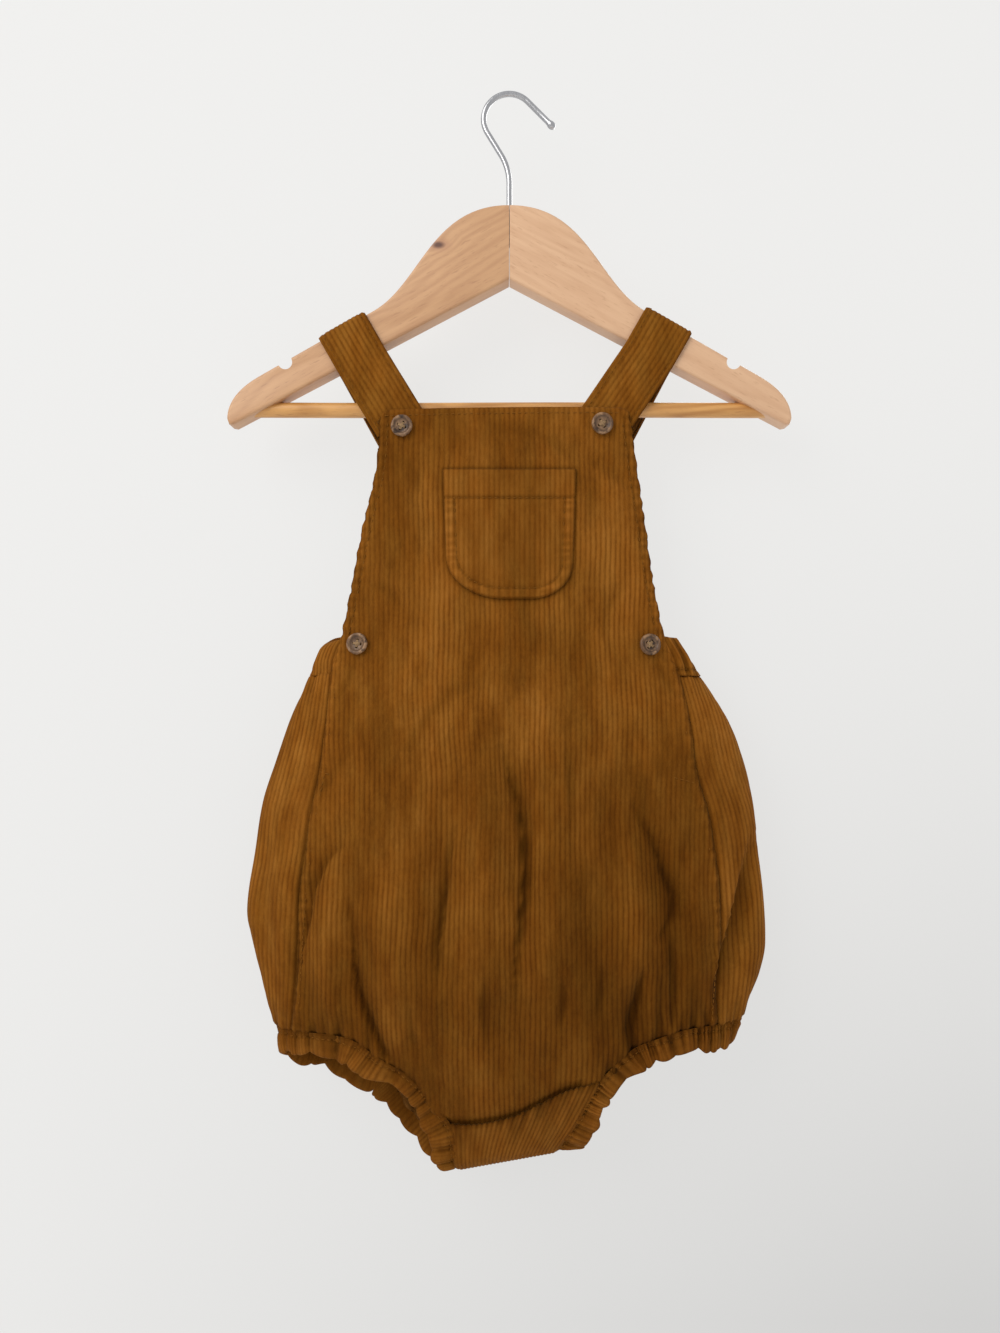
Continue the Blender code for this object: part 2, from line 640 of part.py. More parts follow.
def make_leg_band(name, side, front, crotch, back, finish):
    """The gathered elastic casing round one leg opening, its gathers raised on the outside."""
    edge, way = leg_loop(front, crotch, back, side)
    along = np.roll(edge, -1, axis=0) - np.roll(edge, 1, axis=0)
    away = np.cross(along, way) * -side
    away /= np.linalg.norm(away, axis=1, keepdims=True)
    wave = np.cos(2 * np.pi * np.arange(len(edge)) / STATIONS_PER_GATHER)
    outer, inner = [], []
    for share, fullness in ((0, 0.6), (0.5, 1), (1, 0.5)):
        line = edge + away * (LEG_BAND_GAP + share * LEG_BAND_WIDTH + (share == 1) * 0.5 * wave[:, None])
        half = fullness * LEG_BAND_THICKNESS / 2
        outer.append(line + way * (half + fullness * LEG_GATHER_DEPTH * (wave[:, None] - 1) / 2))
        inner.append(line - way * half)
    wall(name, np.array(outer), np.array(inner), finish, closed=True)


def make_strap(strap, finish):
    """One strap: from behind the bib's corner up over the arm and down the back to the waist."""
    side = strap.side
    down_arm = np.array((side, ARM_SLOPE)) / math.hypot(1, ARM_SLOPE)
    up = np.array((-side * down_arm[1], side * down_arm[0]))
    top = np.array((strap.arm_x, strap.arm_z))
    button = np.array((strap.button_x, strap.button_z))
    back_end = np.array((strap.end_x, STRAP_END_Z))
    low = top - STRAP_STRAIGHT * up
    front_way = (button - low) / np.linalg.norm(button - low)
    back_way = (back_end - low) / np.linalg.norm(back_end - low)
    front_end = button + front_way * STRAP_END_PAST_BUTTON
    front_across = np.array((-front_way[1], front_way[0])) * side
    back_across = np.array((-back_way[1], back_way[0])) * side
    half_widths = np.linspace(STRAP_WIDTH / 2, -STRAP_WIDTH / 2, STRAP_COLUMNS)[:, None] * side
    on_arm = ARM_THICKNESS / 2 + REST_GAP + STRAP_THICKNESS
    bend = ARM_EDGE_RADIUS + REST_GAP + STRAP_THICKNESS
    back_depth = column(STRAP_BACK_RUN, "z", "right" if side > 0 else "left")
    rows = []

    def add_row(place, across, depth):
        x, z = (place + half_widths * across / np.linalg.norm(across)).T
        rows.append(np.stack([x, depth(x, z), z], axis=-1))

    def in_front(x, z):
        tucked = front_skin(np.clip(x, -edge_left(z), edge_right(z)), z)[:, 1] + CLOTH + STRAP_TUCK_GAP
        return tucked + (-on_arm - tucked) * smoothstep((z - STRAP_TUCK_Z) / (STRAP_CLEAR_Z - STRAP_TUCK_Z))

    for share in np.linspace(0, 1, 9):
        across = front_across + (down_arm - front_across) * share
        add_row(front_end + (low - front_end) * share, across, in_front)
    quarter = np.radians((0, 30, 60, 90))
    for facing, angle in [(-1, angle) for angle in quarter] + [(1, angle) for angle in quarter[::-1]]:
        y = facing * (on_arm - bend + bend * math.cos(angle))
        place = top + (bend * math.sin(angle) - ARM_EDGE_RADIUS) * up
        add_row(place, down_arm, lambda x, z: np.full_like(x, y))
    for share in np.linspace(0, 1, 11):
        across = down_arm + (back_across - down_arm) * smoothstep(share * 3)
        add_row(low + (back_end - low) * share, across, lambda x, z: back_depth(z) + STRAP_THICKNESS)
    outer = np.array(rows)
    wall(strap.name, outer, outer - STRAP_THICKNESS * outward(outer), finish)


def make_button(place, finish):
    """A turned four-hole button, flat on the cloth."""
    steps = np.array((-1, 0, 1)) * BUTTON_SECTION[5].radius
    spots = front_skin(place.x + steps, place.z - steps[:, None])
    way = outward(spots)[1, 1]
    lift = ((spots - spots[1, 1]) @ way).max()
    seat = spots[1, 1] + (REST_GAP + lift) * way
    shape = bmesh.new()
    verts = [shape.verts.new((turn.radius * MM, 0, turn.height * MM)) for turn in BUTTON_SECTION]
    edges = [shape.edges.new(pair) for pair in zip(verts, verts[1:])]
    bmesh.ops.spin(
        shape,
        geom=verts + edges,
        cent=(0, 0, 0),
        axis=(0, 0, 1),
        angle=2 * math.pi,
        steps=16,
        use_merge=True,
    )
    bmesh.ops.remove_doubles(shape, verts=shape.verts, dist=MM / 1000)
    bmesh.ops.recalc_face_normals(shape, faces=shape.faces)
    button = add_object(place.name, shape, finish)
    holes = bmesh.new()
    for turn in range(4):
        x = BUTTON_HOLE_OFFSET * (1 if turn in (0, 3) else -1)
        y = BUTTON_HOLE_OFFSET * (1 if turn < 2 else -1)
        bmesh.ops.create_cone(
            holes,
            cap_ends=True,
            segments=6,
            radius1=BUTTON_HOLE_RADIUS * MM,
            radius2=BUTTON_HOLE_RADIUS * MM,
            depth=8 * MM,
            matrix=Matrix.Translation((x * MM, y * MM, 1 * MM)),
        )
    cutter = add_cutter(place.name + "_holes", holes)
    for thing in (button, cutter):
        thing.location = Vector(seat) * MM
        thing.rotation_mode = "QUATERNION"
        thing.rotation_quaternion = Vector(way).to_track_quat("Z", "Y")
    cut(button, cutter)


def main():
    for thing in list(bpy.data.objects):
        bpy.data.objects.remove(thing)
    corduroy = material("corduroy", (0.18, 0.067, 0.008), 0.9)
    strap_cloth = material("corduroy_strap", (0.2, 0.075, 0.01), 0.9)
    band_cloth = material("corduroy_band", (0.13, 0.05, 0.008), 0.9)
    beech = material("beech", (0.68, 0.44, 0.27), 0.45)
    bar_wood = material("bar_wood", (0.68, 0.39, 0.17), 0.4)
    steel = material("steel", (0.6, 0.6, 0.6), 0.25, 1.0)
    horn = material("horn", (0.12, 0.06, 0.03), 0.3)

    bar_end = np.array((BAR_HALF_LENGTH + REST_GAP, 0, 0))
    bar_middle = np.array((0, 0, BAR_Z))
    socket = cylinder_cutter("bar_socket", bar_middle - bar_end, bar_middle + bar_end, BAR_RADIUS + REST_GAP)
    hole_top = (0, 0, ARM_TOP_Z + HOLE_PAST_TOP)
    hole_low = (0, 0, ARM_TOP_Z - HOOK_SUNK - REST_GAP)
    hole = cylinder_cutter("hook_hole", hole_top, hole_low, WIRE_RADIUS + REST_GAP, sides=12)
    make_arm("hanger_arm_left", -1, beech, (socket, hole))
    make_arm("hanger_arm_right", 1, beech, (socket, hole))
    make_bar(bar_wood)
    make_hook(steel)

    front = make_front(corduroy)
    back = make_back(corduroy)
    crotch = make_crotch(band_cloth)
    make_waistband(corduroy)
    make_plackets(corduroy)
    make_pocket(corduroy)
    make_leg_band("leg_band_left", -1, front, crotch, back, band_cloth)
    make_leg_band("leg_band_right", 1, front, crotch, back, band_cloth)
    for strap in STRAPS:
        make_strap(strap, strap_cloth)
    for place in BUTTONS:
        make_button(place, horn)


main()
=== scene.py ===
import json
import math

import bmesh
import bpy
import numpy as np
from mathutils import Matrix, Vector

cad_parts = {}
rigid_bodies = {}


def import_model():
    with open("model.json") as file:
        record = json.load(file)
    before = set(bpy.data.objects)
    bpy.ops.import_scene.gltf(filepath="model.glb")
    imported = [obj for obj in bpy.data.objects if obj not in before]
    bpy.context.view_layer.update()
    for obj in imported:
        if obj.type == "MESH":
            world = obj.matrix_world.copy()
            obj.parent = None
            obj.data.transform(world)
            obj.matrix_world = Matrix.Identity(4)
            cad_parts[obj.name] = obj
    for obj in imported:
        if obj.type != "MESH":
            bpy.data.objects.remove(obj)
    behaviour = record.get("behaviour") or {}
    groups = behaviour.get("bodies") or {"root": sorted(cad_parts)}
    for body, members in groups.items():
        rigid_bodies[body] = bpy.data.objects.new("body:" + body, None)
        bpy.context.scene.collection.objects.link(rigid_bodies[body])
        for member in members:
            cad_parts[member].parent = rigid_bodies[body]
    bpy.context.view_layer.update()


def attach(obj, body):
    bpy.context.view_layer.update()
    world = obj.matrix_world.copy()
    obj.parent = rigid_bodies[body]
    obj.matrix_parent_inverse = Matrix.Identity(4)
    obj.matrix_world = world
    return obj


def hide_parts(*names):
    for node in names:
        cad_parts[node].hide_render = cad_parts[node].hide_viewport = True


for thing in list(bpy.data.objects):
    bpy.data.objects.remove(thing)
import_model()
mm = 0.001  # tables and sizes are in millimetres, meshes in metres
luck = np.random.default_rng(11)

# The cut: the rings, edges, hems and folds that the solids have too, some folds a little shallower
cloth = {
    "thick": 1.8,  # a panel with its seam allowances
    "seamGap": 0.6,
    "restGap": 0.35,
    "roundness": 2.5,  # the power of the rings' outline
    "foldFade": 0.35,
    "overlap": 2.0,  # how far the back goes in under the front at the seams
    "under": 3.5,  # how far the panels go on inside the leg bands
    "backTop": -310,
    "hemRing": -500,
    "wale": 2.65,  # from ridge to ridge
    "relief": 0.32,  # how high a ridge stands over its valley
    "samples": 4,  # points across a wale
    "shell": 1.2,
}
rings = (  # z, half width to the left and right, depth in front and behind
    (-150, 98, 94, 12.2, 12),
    (-230, 98, 92, 12.6, 14),
    (-280, 96.5, 91, 13.5, 16),
    (-292, 97.5, 90.6, 14, 16),
    (-314, 109.2, 104.6, 18, 17),
    (-335, 118.0, 117.5, 22, 19),
    (-357, 125.2, 125.6, 26, 22),
    (-378, 132, 130.4, 29, 24),
    (-405, 136.3, 133.6, 31, 26),
    (-437, 140.6, 136.8, 32, 27),
    (-454, 137.4, 137.4, 32, 27),
    (-470, 133.6, 134.7, 31, 26),
    (-486, 129.9, 129.3, 29, 24),
    (-505, 125, 122, 26, 21),
    (-530, 120, 115, 20, 16),
    (-545, 116, 110, 15.5, 13),
    (-560, 112, 105, 12, 10),
    (-575, 105, 100, 9, 7),
)
frontEdges = (  # z, the front panel's half width to the left and right
    (-170, 68.5, 63.3),
    (-203, 71, 67.9),
    (-234, 78.4, 72.6),
    (-266, 84.7, 77.4),
    (-292, 90.5, 83.5),
    (-303, 94, 88),
    (-318, 95.3, 91.8),
    (-338, 96.8, 95.3),
    (-361, 99.3, 97.6),
    (-383, 103.5, 103.6),
    (-403, 106, 106.8),
    (-420, 108.4, 108.8),
    (-450, 110.3, 109.6),
    (-483, 113, 108.6),
    (-500, 115.8, 108.9),
)
frontHemPoints = (  # x, z
    (-115.8, -500), (-95, -499.5), (-85, -500), (-76, -504.5), (-69.5, -511), (-59, -516),
    (-52, -520.5), (-45, -529), (-38, -538), (-32, -546), (-25, -551), (-13, -549), (2, -545.5),
    (16, -537), (27, -531), (40, -528), (46.8, -524), (51.5, -517.5), (58, -511.5), (64, -505),
    (77, -501), (89, -497), (109, -496),
)
backHemPoints = (  # x, z
    (-127, -499.5), (-115, -500), (-95, -505), (-80, -510), (-68, -517), (-58, -524), (-48, -533),
    (-40, -543), (-33, -551), (0, -551.5), (33, -551), (41, -541), (50, -530), (60, -519),
    (70, -511), (85, -504), (98, -499), (109, -496), (123, -495.5),
)
frontFolds = (  # x and z at the top, the middle and the foot, depth, width
    (-7.5, -318, 6.2, -400, 2.6, -470, 4.0, 7.5),
    (-20, -325, -13, -395, -16, -462, -3, 8),
    (-27.9, -350, -35.5, -430, -37, -472, 4, 9),
    (-58, -410, -57, -455, -52, -500, -3.5, 11),
    (-83.7, -405, -76.6, -466, -68, -504, 2.2, 7.5),
    (-94, -410, -95, -450, -92, -492, -2.5, 7),
    (-82, -385, -101, -418, -111, -484, 2.2, 7),
    (24, -350, 26, -410, 24, -470, -2.5, 12),
    (40.7, -415, 43, -453, 45.8, -490, 3, 9),
    (62, -395, 63, -440, 57, -488, -2.5, 8),
    (64.6, -372, 81.9, -425, 82.9, -494, 3.2, 7.5),
    (66.6, -460, 64.8, -480, 63, -500, 4, 5),
    (94, -400, 97, -445, 95, -488, -2, 6),
    (-5, -470, -3, -492, -1, -520, 3.5, 8),
    (-33, -272, -22, -296, -8, -330, 1.5, 9),
    (28, -276, 16, -300, 2, -338, 1.5, 9),
    (34, -188, 54, -202, 69, -220, 1.3, 6),
    (129, -395, 121, -448, 109, -490, 3, 6),
    (-126, -380, -128, -440, -121, -488, 2.5, 6),
)
backFolds = (
    (-88, -322, -96, -400, -84, -492, 4, 9),
    (-58, -318, -66, -390, -60, -470, 5, 8),
    (-28, -325, -22, -410, -14, -500, 4.5, 9),
    (12, -316, 20, -380, 12, -460, 5, 8),
    (42, -322, 38, -420, 30, -505, 4, 9),
    (70, -318, 78, -400, 70, -490, 5, 8),
    (100, -340, 104, -420, 96, -488, 4, 8),
)


def smoothStep(t):
    t = np.clip(t, 0, 1)
    return t * t * (3 - 2 * t)


def bell(far, width):  # 1 in the middle, fading to both sides
    return np.exp(-((far / width) ** 2))


def paired(first, second):
    return np.stack(np.broadcast_arrays(first, second), axis=-1)


def runAlong(line):  # the way travelled to each of a line's points
    return np.concatenate([[0], np.cumsum(np.linalg.norm(np.diff(line, axis=0), axis=1))])


def readLine(at, travelled, line):
    return np.stack([np.interp(at, travelled, line[:, k]) for k in range(3)], axis=-1)


def smoothCurve(stations, values):  # reads a smooth line through the values that overshoots none of them
    stations, values = np.asarray(stations, float), np.asarray(values, float)
    secants = np.diff(values, axis=0) / np.diff(stations).reshape((-1,) + (1,) * (values.ndim - 1))
    before, after = np.concatenate([secants[:1], secants]), np.concatenate([secants, secants[-1:]])
    limit = 3 * np.minimum(np.abs(before), np.abs(after))
    slopes = np.where(before * after > 0, np.clip((before + after) / 2, -limit, limit), 0)

    def read(at):
        at = np.clip(at, stations[0], stations[-1])
        i = np.clip(np.searchsorted(stations, at) - 1, 0, len(stations) - 2)
        wide = np.shape(at) + (1,) * (values.ndim - 1)
        step = (stations[i + 1] - stations[i]).reshape(wide)
        t = ((at - stations[i]) / (stations[i + 1] - stations[i])).reshape(wide)
        start = (1 + 2 * t) * (1 - t) ** 2 * values[i] + t * (1 - t) ** 2 * step * slopes[i]
        return start + t * t * (3 - 2 * t) * values[i + 1] + t * t * (t - 1) * step * slopes[i + 1]

    return read


def tableCurve(rows, key, value):
    rows = sorted(rows, key=lambda row: row[key])
    return smoothCurve([row[key] for row in rows], [row[value] for row in rows])


ringLeft, ringRight, ringFront, ringBack = (tableCurve(rings, 0, k) for k in (1, 2, 3, 4))
edgeLeft, edgeRight = tableCurve(frontEdges, 0, 1), tableCurve(frontEdges, 0, 2)
frontHem, backHem = tableCurve(frontHemPoints, 0, 1), tableCurve(backHemPoints, 0, 1)


def crease(folds, x, z):  # how far the folds push the cloth in
    total = np.zeros(np.broadcast(x, z).shape)
    for topX, topZ, midX, midZ, lowX, lowZ, depth, width in folds:
        line = np.polyval(np.polyfit((topZ, midZ, lowZ), (topX, midX, lowX), 2), np.clip(z, lowZ, topZ))
        along = np.clip((topZ - z) / (topZ - lowZ), 0, 1)
        total = total + depth * np.sin(np.pi * along) ** 0.8 * bell(x - line, width)
    return total


def skin(angle, z):  # the outside at an angle round the romper, 0 being +X and a quarter turn the back
    across, through = np.cos(angle), np.sin(angle)
    half = np.where(across >= 0, ringRight(z), ringLeft(z))
    depth = np.where(through >= 0, ringBack(z), ringFront(z))
    x = half * np.sign(across) * np.abs(across) ** (2 / cloth["roundness"])
    pushed = np.where(through < 0, crease(frontFolds, x, z), -crease(backFolds, x, z))
    y = depth * through + pushed * smoothStep(np.abs(through) / cloth["foldFade"])
    return np.stack(np.broadcast_arrays(x, y, z), axis=-1)


def frontAngle(x, z):
    half = np.where(x >= 0, ringRight(z), ringLeft(z))
    return -np.arccos(np.clip(np.sign(x) * (np.abs(x) / half) ** (cloth["roundness"] / 2), -1, 1))


def frontSkin(x, z):
    return skin(frontAngle(x, z), z)


def backAngles(shares, z, gap=None):  # angles at shares of the way round the back, from the right seam
    gap = -cloth["overlap"] if gap is None else gap
    seamZ = np.maximum(z, cloth["hemRing"])
    start = frontAngle(edgeRight(seamZ) + gap, seamZ)
    end = 2 * np.pi + frontAngle(-edgeLeft(seamZ) - gap, seamZ)
    angles = np.linspace(start, end, 240)
    travelled = runAlong(skin(angles, z))
    return np.interp(shares * travelled[-1], travelled, angles)


def anglesAt(shares, z, levels):  # the back's angles at a grid's heights, read from a few levels
    table = np.array([backAngles(shares, level) for level in levels])
    return np.array([np.interp(z[:, k], levels, table[:, k]) for k in range(len(shares))]).T


def unit(ways):
    return ways / np.maximum(np.linalg.norm(ways, axis=-1, keepdims=True), 1e-9)


def outward(grid):  # normals of a grid whose rows run down and columns to the right, seen from outside
    return unit(np.cross(np.gradient(grid, axis=0), np.gradient(grid, axis=1)))


def frontNormal(x, z, reach=0.8):
    down = frontSkin(x, z - reach) - frontSkin(x, z + reach)
    return unit(np.cross(down, frontSkin(x + reach, z) - frontSkin(x - reach, z)))


def ridges(u):  # 0 in a valley and 1 on a ridge, with a ridge in the middle of every whole number
    return np.abs(np.sin(np.pi * u)) ** 0.7


def waver(s, z):  # ribs never run quite straight
    slow = 0.13 * np.sin(z * 0.07 + s * 0.05) + 0.05 * np.sin(z * 0.19 - s * 0.12)
    return slow + 0.02 * np.sin(z * 0.5 + s * 0.3)


def gathers(across, below, rows):  # folds that start at a gathered edge: place, lean, length, depth, width
    total = np.zeros(np.broadcast(across, below).shape)
    for place, lean, length, depth, width in rows:
        middle = place + lean * below
        fade = bell(below, length)
        spread = width * (1 + 0.6 * np.clip(below / length, 0, 2))
        total = total + depth * fade * bell(across - middle, spread)
    return total


def foldLines(rows, x, z, narrow=1.0):  # folds along drawn lines, steep on one side and slow on the other
    total = np.zeros(np.broadcast(x, z).shape)
    for points, depth, leftWidth, rightWidth, deepest in rows:
        line = smoothCurve(np.linspace(0, 1, len(points)), np.array(points, float))(np.linspace(0, 1, 36))
        way = unit(np.gradient(line, axis=0))
        apart = paired(x, z)[..., None, :] - line
        far = np.hypot(apart[..., 0], apart[..., 1])
        near = far.argmin(axis=-1)
        apart = np.take_along_axis(apart, near[..., None, None], axis=-2)[..., 0, :]
        side = way[near, 0] * apart[..., 1] - way[near, 1] * apart[..., 0]
        width = np.where(side < 0, leftWidth, rightWidth) * narrow
        along = near / (len(line) - 1)
        rise = np.where(along < deepest, along / max(deepest, 0.01), (1 - along) / max(1 - deepest, 0.01))
        total = total + depth * np.sin(np.pi / 2 * rise) ** 0.8 * bell(far.min(axis=-1), width)
    return total


frontLines = (  # points down the line in x and z, depth, width to its left and right, where it is deepest
    (((-83, -422), (-81, -441), (-78.7, -466), (-74, -484), (-68, -499), (-63, -510)),
     2.8, 1.3, 3.4, 0.9),
    (((-28, -388), (-31.5, -408), (-34, -430), (-36, -448), (-36.5, -470)), 2.5, 3.6, 1.8, 0.55),
    (((-84, -396), (-93.4, -406), (-99.5, -419), (-103.5, -437), (-107.6, -456), (-112, -478)),
     1.9, 3.0, 1.2, 0.4),
    (((-80, -346), (-91, -363), (-99, -374)), 0.9, 4.5, 2.2, 0.7),
    (((-24, -312), (-34, -322), (-48, -339), (-54, -352)), 1.1, 2.2, 6.5, 0.4),
    (((-10, -326), (-1, -360), (4.1, -378), (6.8, -397), (7.2, -415), (5.2, -435), (3.1, -456), (2, -490)),
     2.8, 2.0, 4.2, 0.56),
    (((31.6, -326), (29.5, -350), (30.6, -368), (30.6, -397), (32, -420)), 1.1, 1.8, 4.0, 0.35),
    (((62, -372), (66, -384), (73.2, -397), (79.3, -415), (83.6, -426), (81, -438), (73, -447)),
     1.8, 1.8, 4.0, 0.6),
    (((82, -440), (83.2, -455), (83.6, -470), (83.4, -494)), 2.3, 1.6, 3.4, 0.75),
    (((68.5, -458), (65.5, -477), (62, -496)), 2.0, 2.6, 1.2, 0.8),
    (((129, -392), (122.5, -414), (118.5, -428), (111.8, -451), (106.5, -471), (104.7, -490)),
     3.4, 1.5, 7.0, 0.5),
    (((26, -462), (28, -476), (25, -492)), 1.2, 3.0, 1.5, 0.6),
    (((44, -452), (46, -468), (44, -486)), 1.1, 1.5, 3.0, 0.6),
    (((-12, -462), (-14, -480), (-11, -500)), 1.2, 1.6, 4.0, 0.6),
    (((-52, -470), (-50, -490), (-46, -508)), 1.0, 3.5, 1.5, 0.6),
    (((-17, -181), (12, -184), (28, -193), (41, -202)), 1.0, 3.0, 5.0, 0.6),
    (((40, -197), (52, -204), (66, -213)), 0.7, 3.0, 4.0, 0.5),
    (((47, -204), (43, -218), (41, -236)), 0.8, 2.5, 4.5, 0.4),
    (((-58, -196), (-50, -204), (-47, -216)), 0.7, 3.0, 3.0, 0.5),
    (((-74, -262), (-62, -268), (-55, -282)), 0.8, 3.5, 3.0, 0.5),
    (((62, -262), (52, -276), (50, -296)), 0.8, 3.0, 3.5, 0.5),
    (((-80, -299), (-84, -312), (-92, -326)), 0.9, 2.5, 2.5, 0.3),
    (((76, -300), (82, -312), (88, -324)), 0.9, 2.5, 2.5, 0.3),
)
backLines = (
    (((-95, -330), (-99, -360), (-92, -400), (-84, -440)), 1.8, 2.0, 6.0, 0.4),
    (((-62, -320), (-68, -350), (-60, -392), (-64, -430)), 2.0, 5.0, 1.8, 0.4),
    (((-22, -324), (-26, -360), (-18, -402), (-24, -450)), 1.6, 1.8, 6.0, 0.4),
    (((24, -318), (19, -352), (26, -395), (22, -430)), 1.8, 5.5, 1.8, 0.5),
    (((58, -326), (64, -366), (57, -410), (60, -452)), 1.9, 1.8, 5.5, 0.5),
    (((96, -336), (101, -372), (94, -420), (97, -462)), 2.0, 5.0, 2.0, 0.5),
    (((-74, -450), (-68, -476), (-60, -506)), 2.4, 1.8, 4.5, 0.8),
    (((70, -446), (66, -474), (60, -504)), 2.2, 4.5, 1.8, 0.8),
    (((-5, -470), (4, -500), (-2, -535)), 1.4, 3.0, 4.0, 0.6),
)
hangPoints = (  # x, and how much lower the left leg's back hem hangs there, with a step where two lumps meet
    (-135, 0), (-126, 2), (-118, 9.5), (-111, 13), (-96, 11), (-93.5, 16.5), (-86.7, 19),
    (-76.3, 17.3), (-68.2, 12.5), (-66, 18.5), (-61, 24), (-52.4, 24.5), (-46.4, 27), (-41.5, 25),
    (-36, 9), (-32, 0),
)
hemDroop = tableCurve(hangPoints, 0, 1)


def gatherRow(start, end, gap, length, depth, lean=0.0):  # uneven gathers along an edge
    rows, place = [], start + gap * luck.uniform(0.2, 0.8)
    while place < end:
        rows.append(
            (
                place,
                lean + luck.normal(0, 0.12),
                length * luck.uniform(0.45, 1.5),
                depth * luck.uniform(0.5, 1.4),
                gap * luck.uniform(0.22, 0.36),
            )
        )
        place += gap * luck.uniform(0.7, 1.35)
    return rows


# Nodes: small helpers, then the shared effects as groups
def feed(tree, socket, value):
    if isinstance(value, bpy.types.NodeSocket):
        tree.links.new(value, socket)
    else:
        socket.default_value = value


def calc(tree, operation, *values, clamp=False):
    node = tree.nodes.new("ShaderNodeMath")
    node.operation, node.use_clamp = operation, clamp
    for socket, value in zip(node.inputs, values):
        feed(tree, socket, value)
    return node.outputs[0]


def mixColor(tree, share, first, second, how="MIX"):
    node = tree.nodes.new("ShaderNodeMix")
    node.data_type, node.blend_type = "RGBA", how
    for k, value in ((0, share), (6, first), (7, second)):
        feed(tree, node.inputs[k], value)
    return node.outputs[2]


def stretch(tree, place, scale, turn=(0, 0, 0), shift=(0, 0, 0)):
    node = tree.nodes.new("ShaderNodeMapping")
    node.vector_type = "POINT"
    feed(tree, node.inputs["Vector"], place)
    node.inputs["Location"].default_value = shift
    node.inputs["Rotation"].default_value = turn
    node.inputs["Scale"].default_value = scale
    return node.outputs[0]


def cloudy(tree, place, scale=None, shift=(0, 0, 0), turn=(0, 0, 0), detail=3.0, rough=0.55, warp=0.0):
    node = tree.nodes.new("ShaderNodeTexNoise")
    feed(tree, node.inputs["Vector"], place if scale is None else stretch(tree, place, scale, turn, shift))
    for name, value in (("Scale", 1.0), ("Detail", detail), ("Roughness", rough), ("Distortion", warp)):
        node.inputs[name].default_value = value
    return node.outputs["Fac"]


def spread(tree, value, low, high, toLow=0.0, toHigh=1.0):
    node = tree.nodes.new("ShaderNodeMapRange")
    for name, number in (("From Min", low), ("From Max", high), ("To Min", toLow), ("To Max", toHigh)):
        node.inputs[name].default_value = number
    feed(tree, node.inputs["Value"], value)
    return node.outputs["Result"]


def newGroup(name, takes, gives):
    tree = bpy.data.node_groups.new(name, "ShaderNodeTree")
    for label, kind in takes:
        tree.interface.new_socket(label, in_out="INPUT", socket_type="NodeSocket" + kind)
    for label, kind in gives:
        tree.interface.new_socket(label, in_out="OUTPUT", socket_type="NodeSocket" + kind)
    return tree, tree.nodes.new("NodeGroupInput").outputs, tree.nodes.new("NodeGroupOutput").inputs


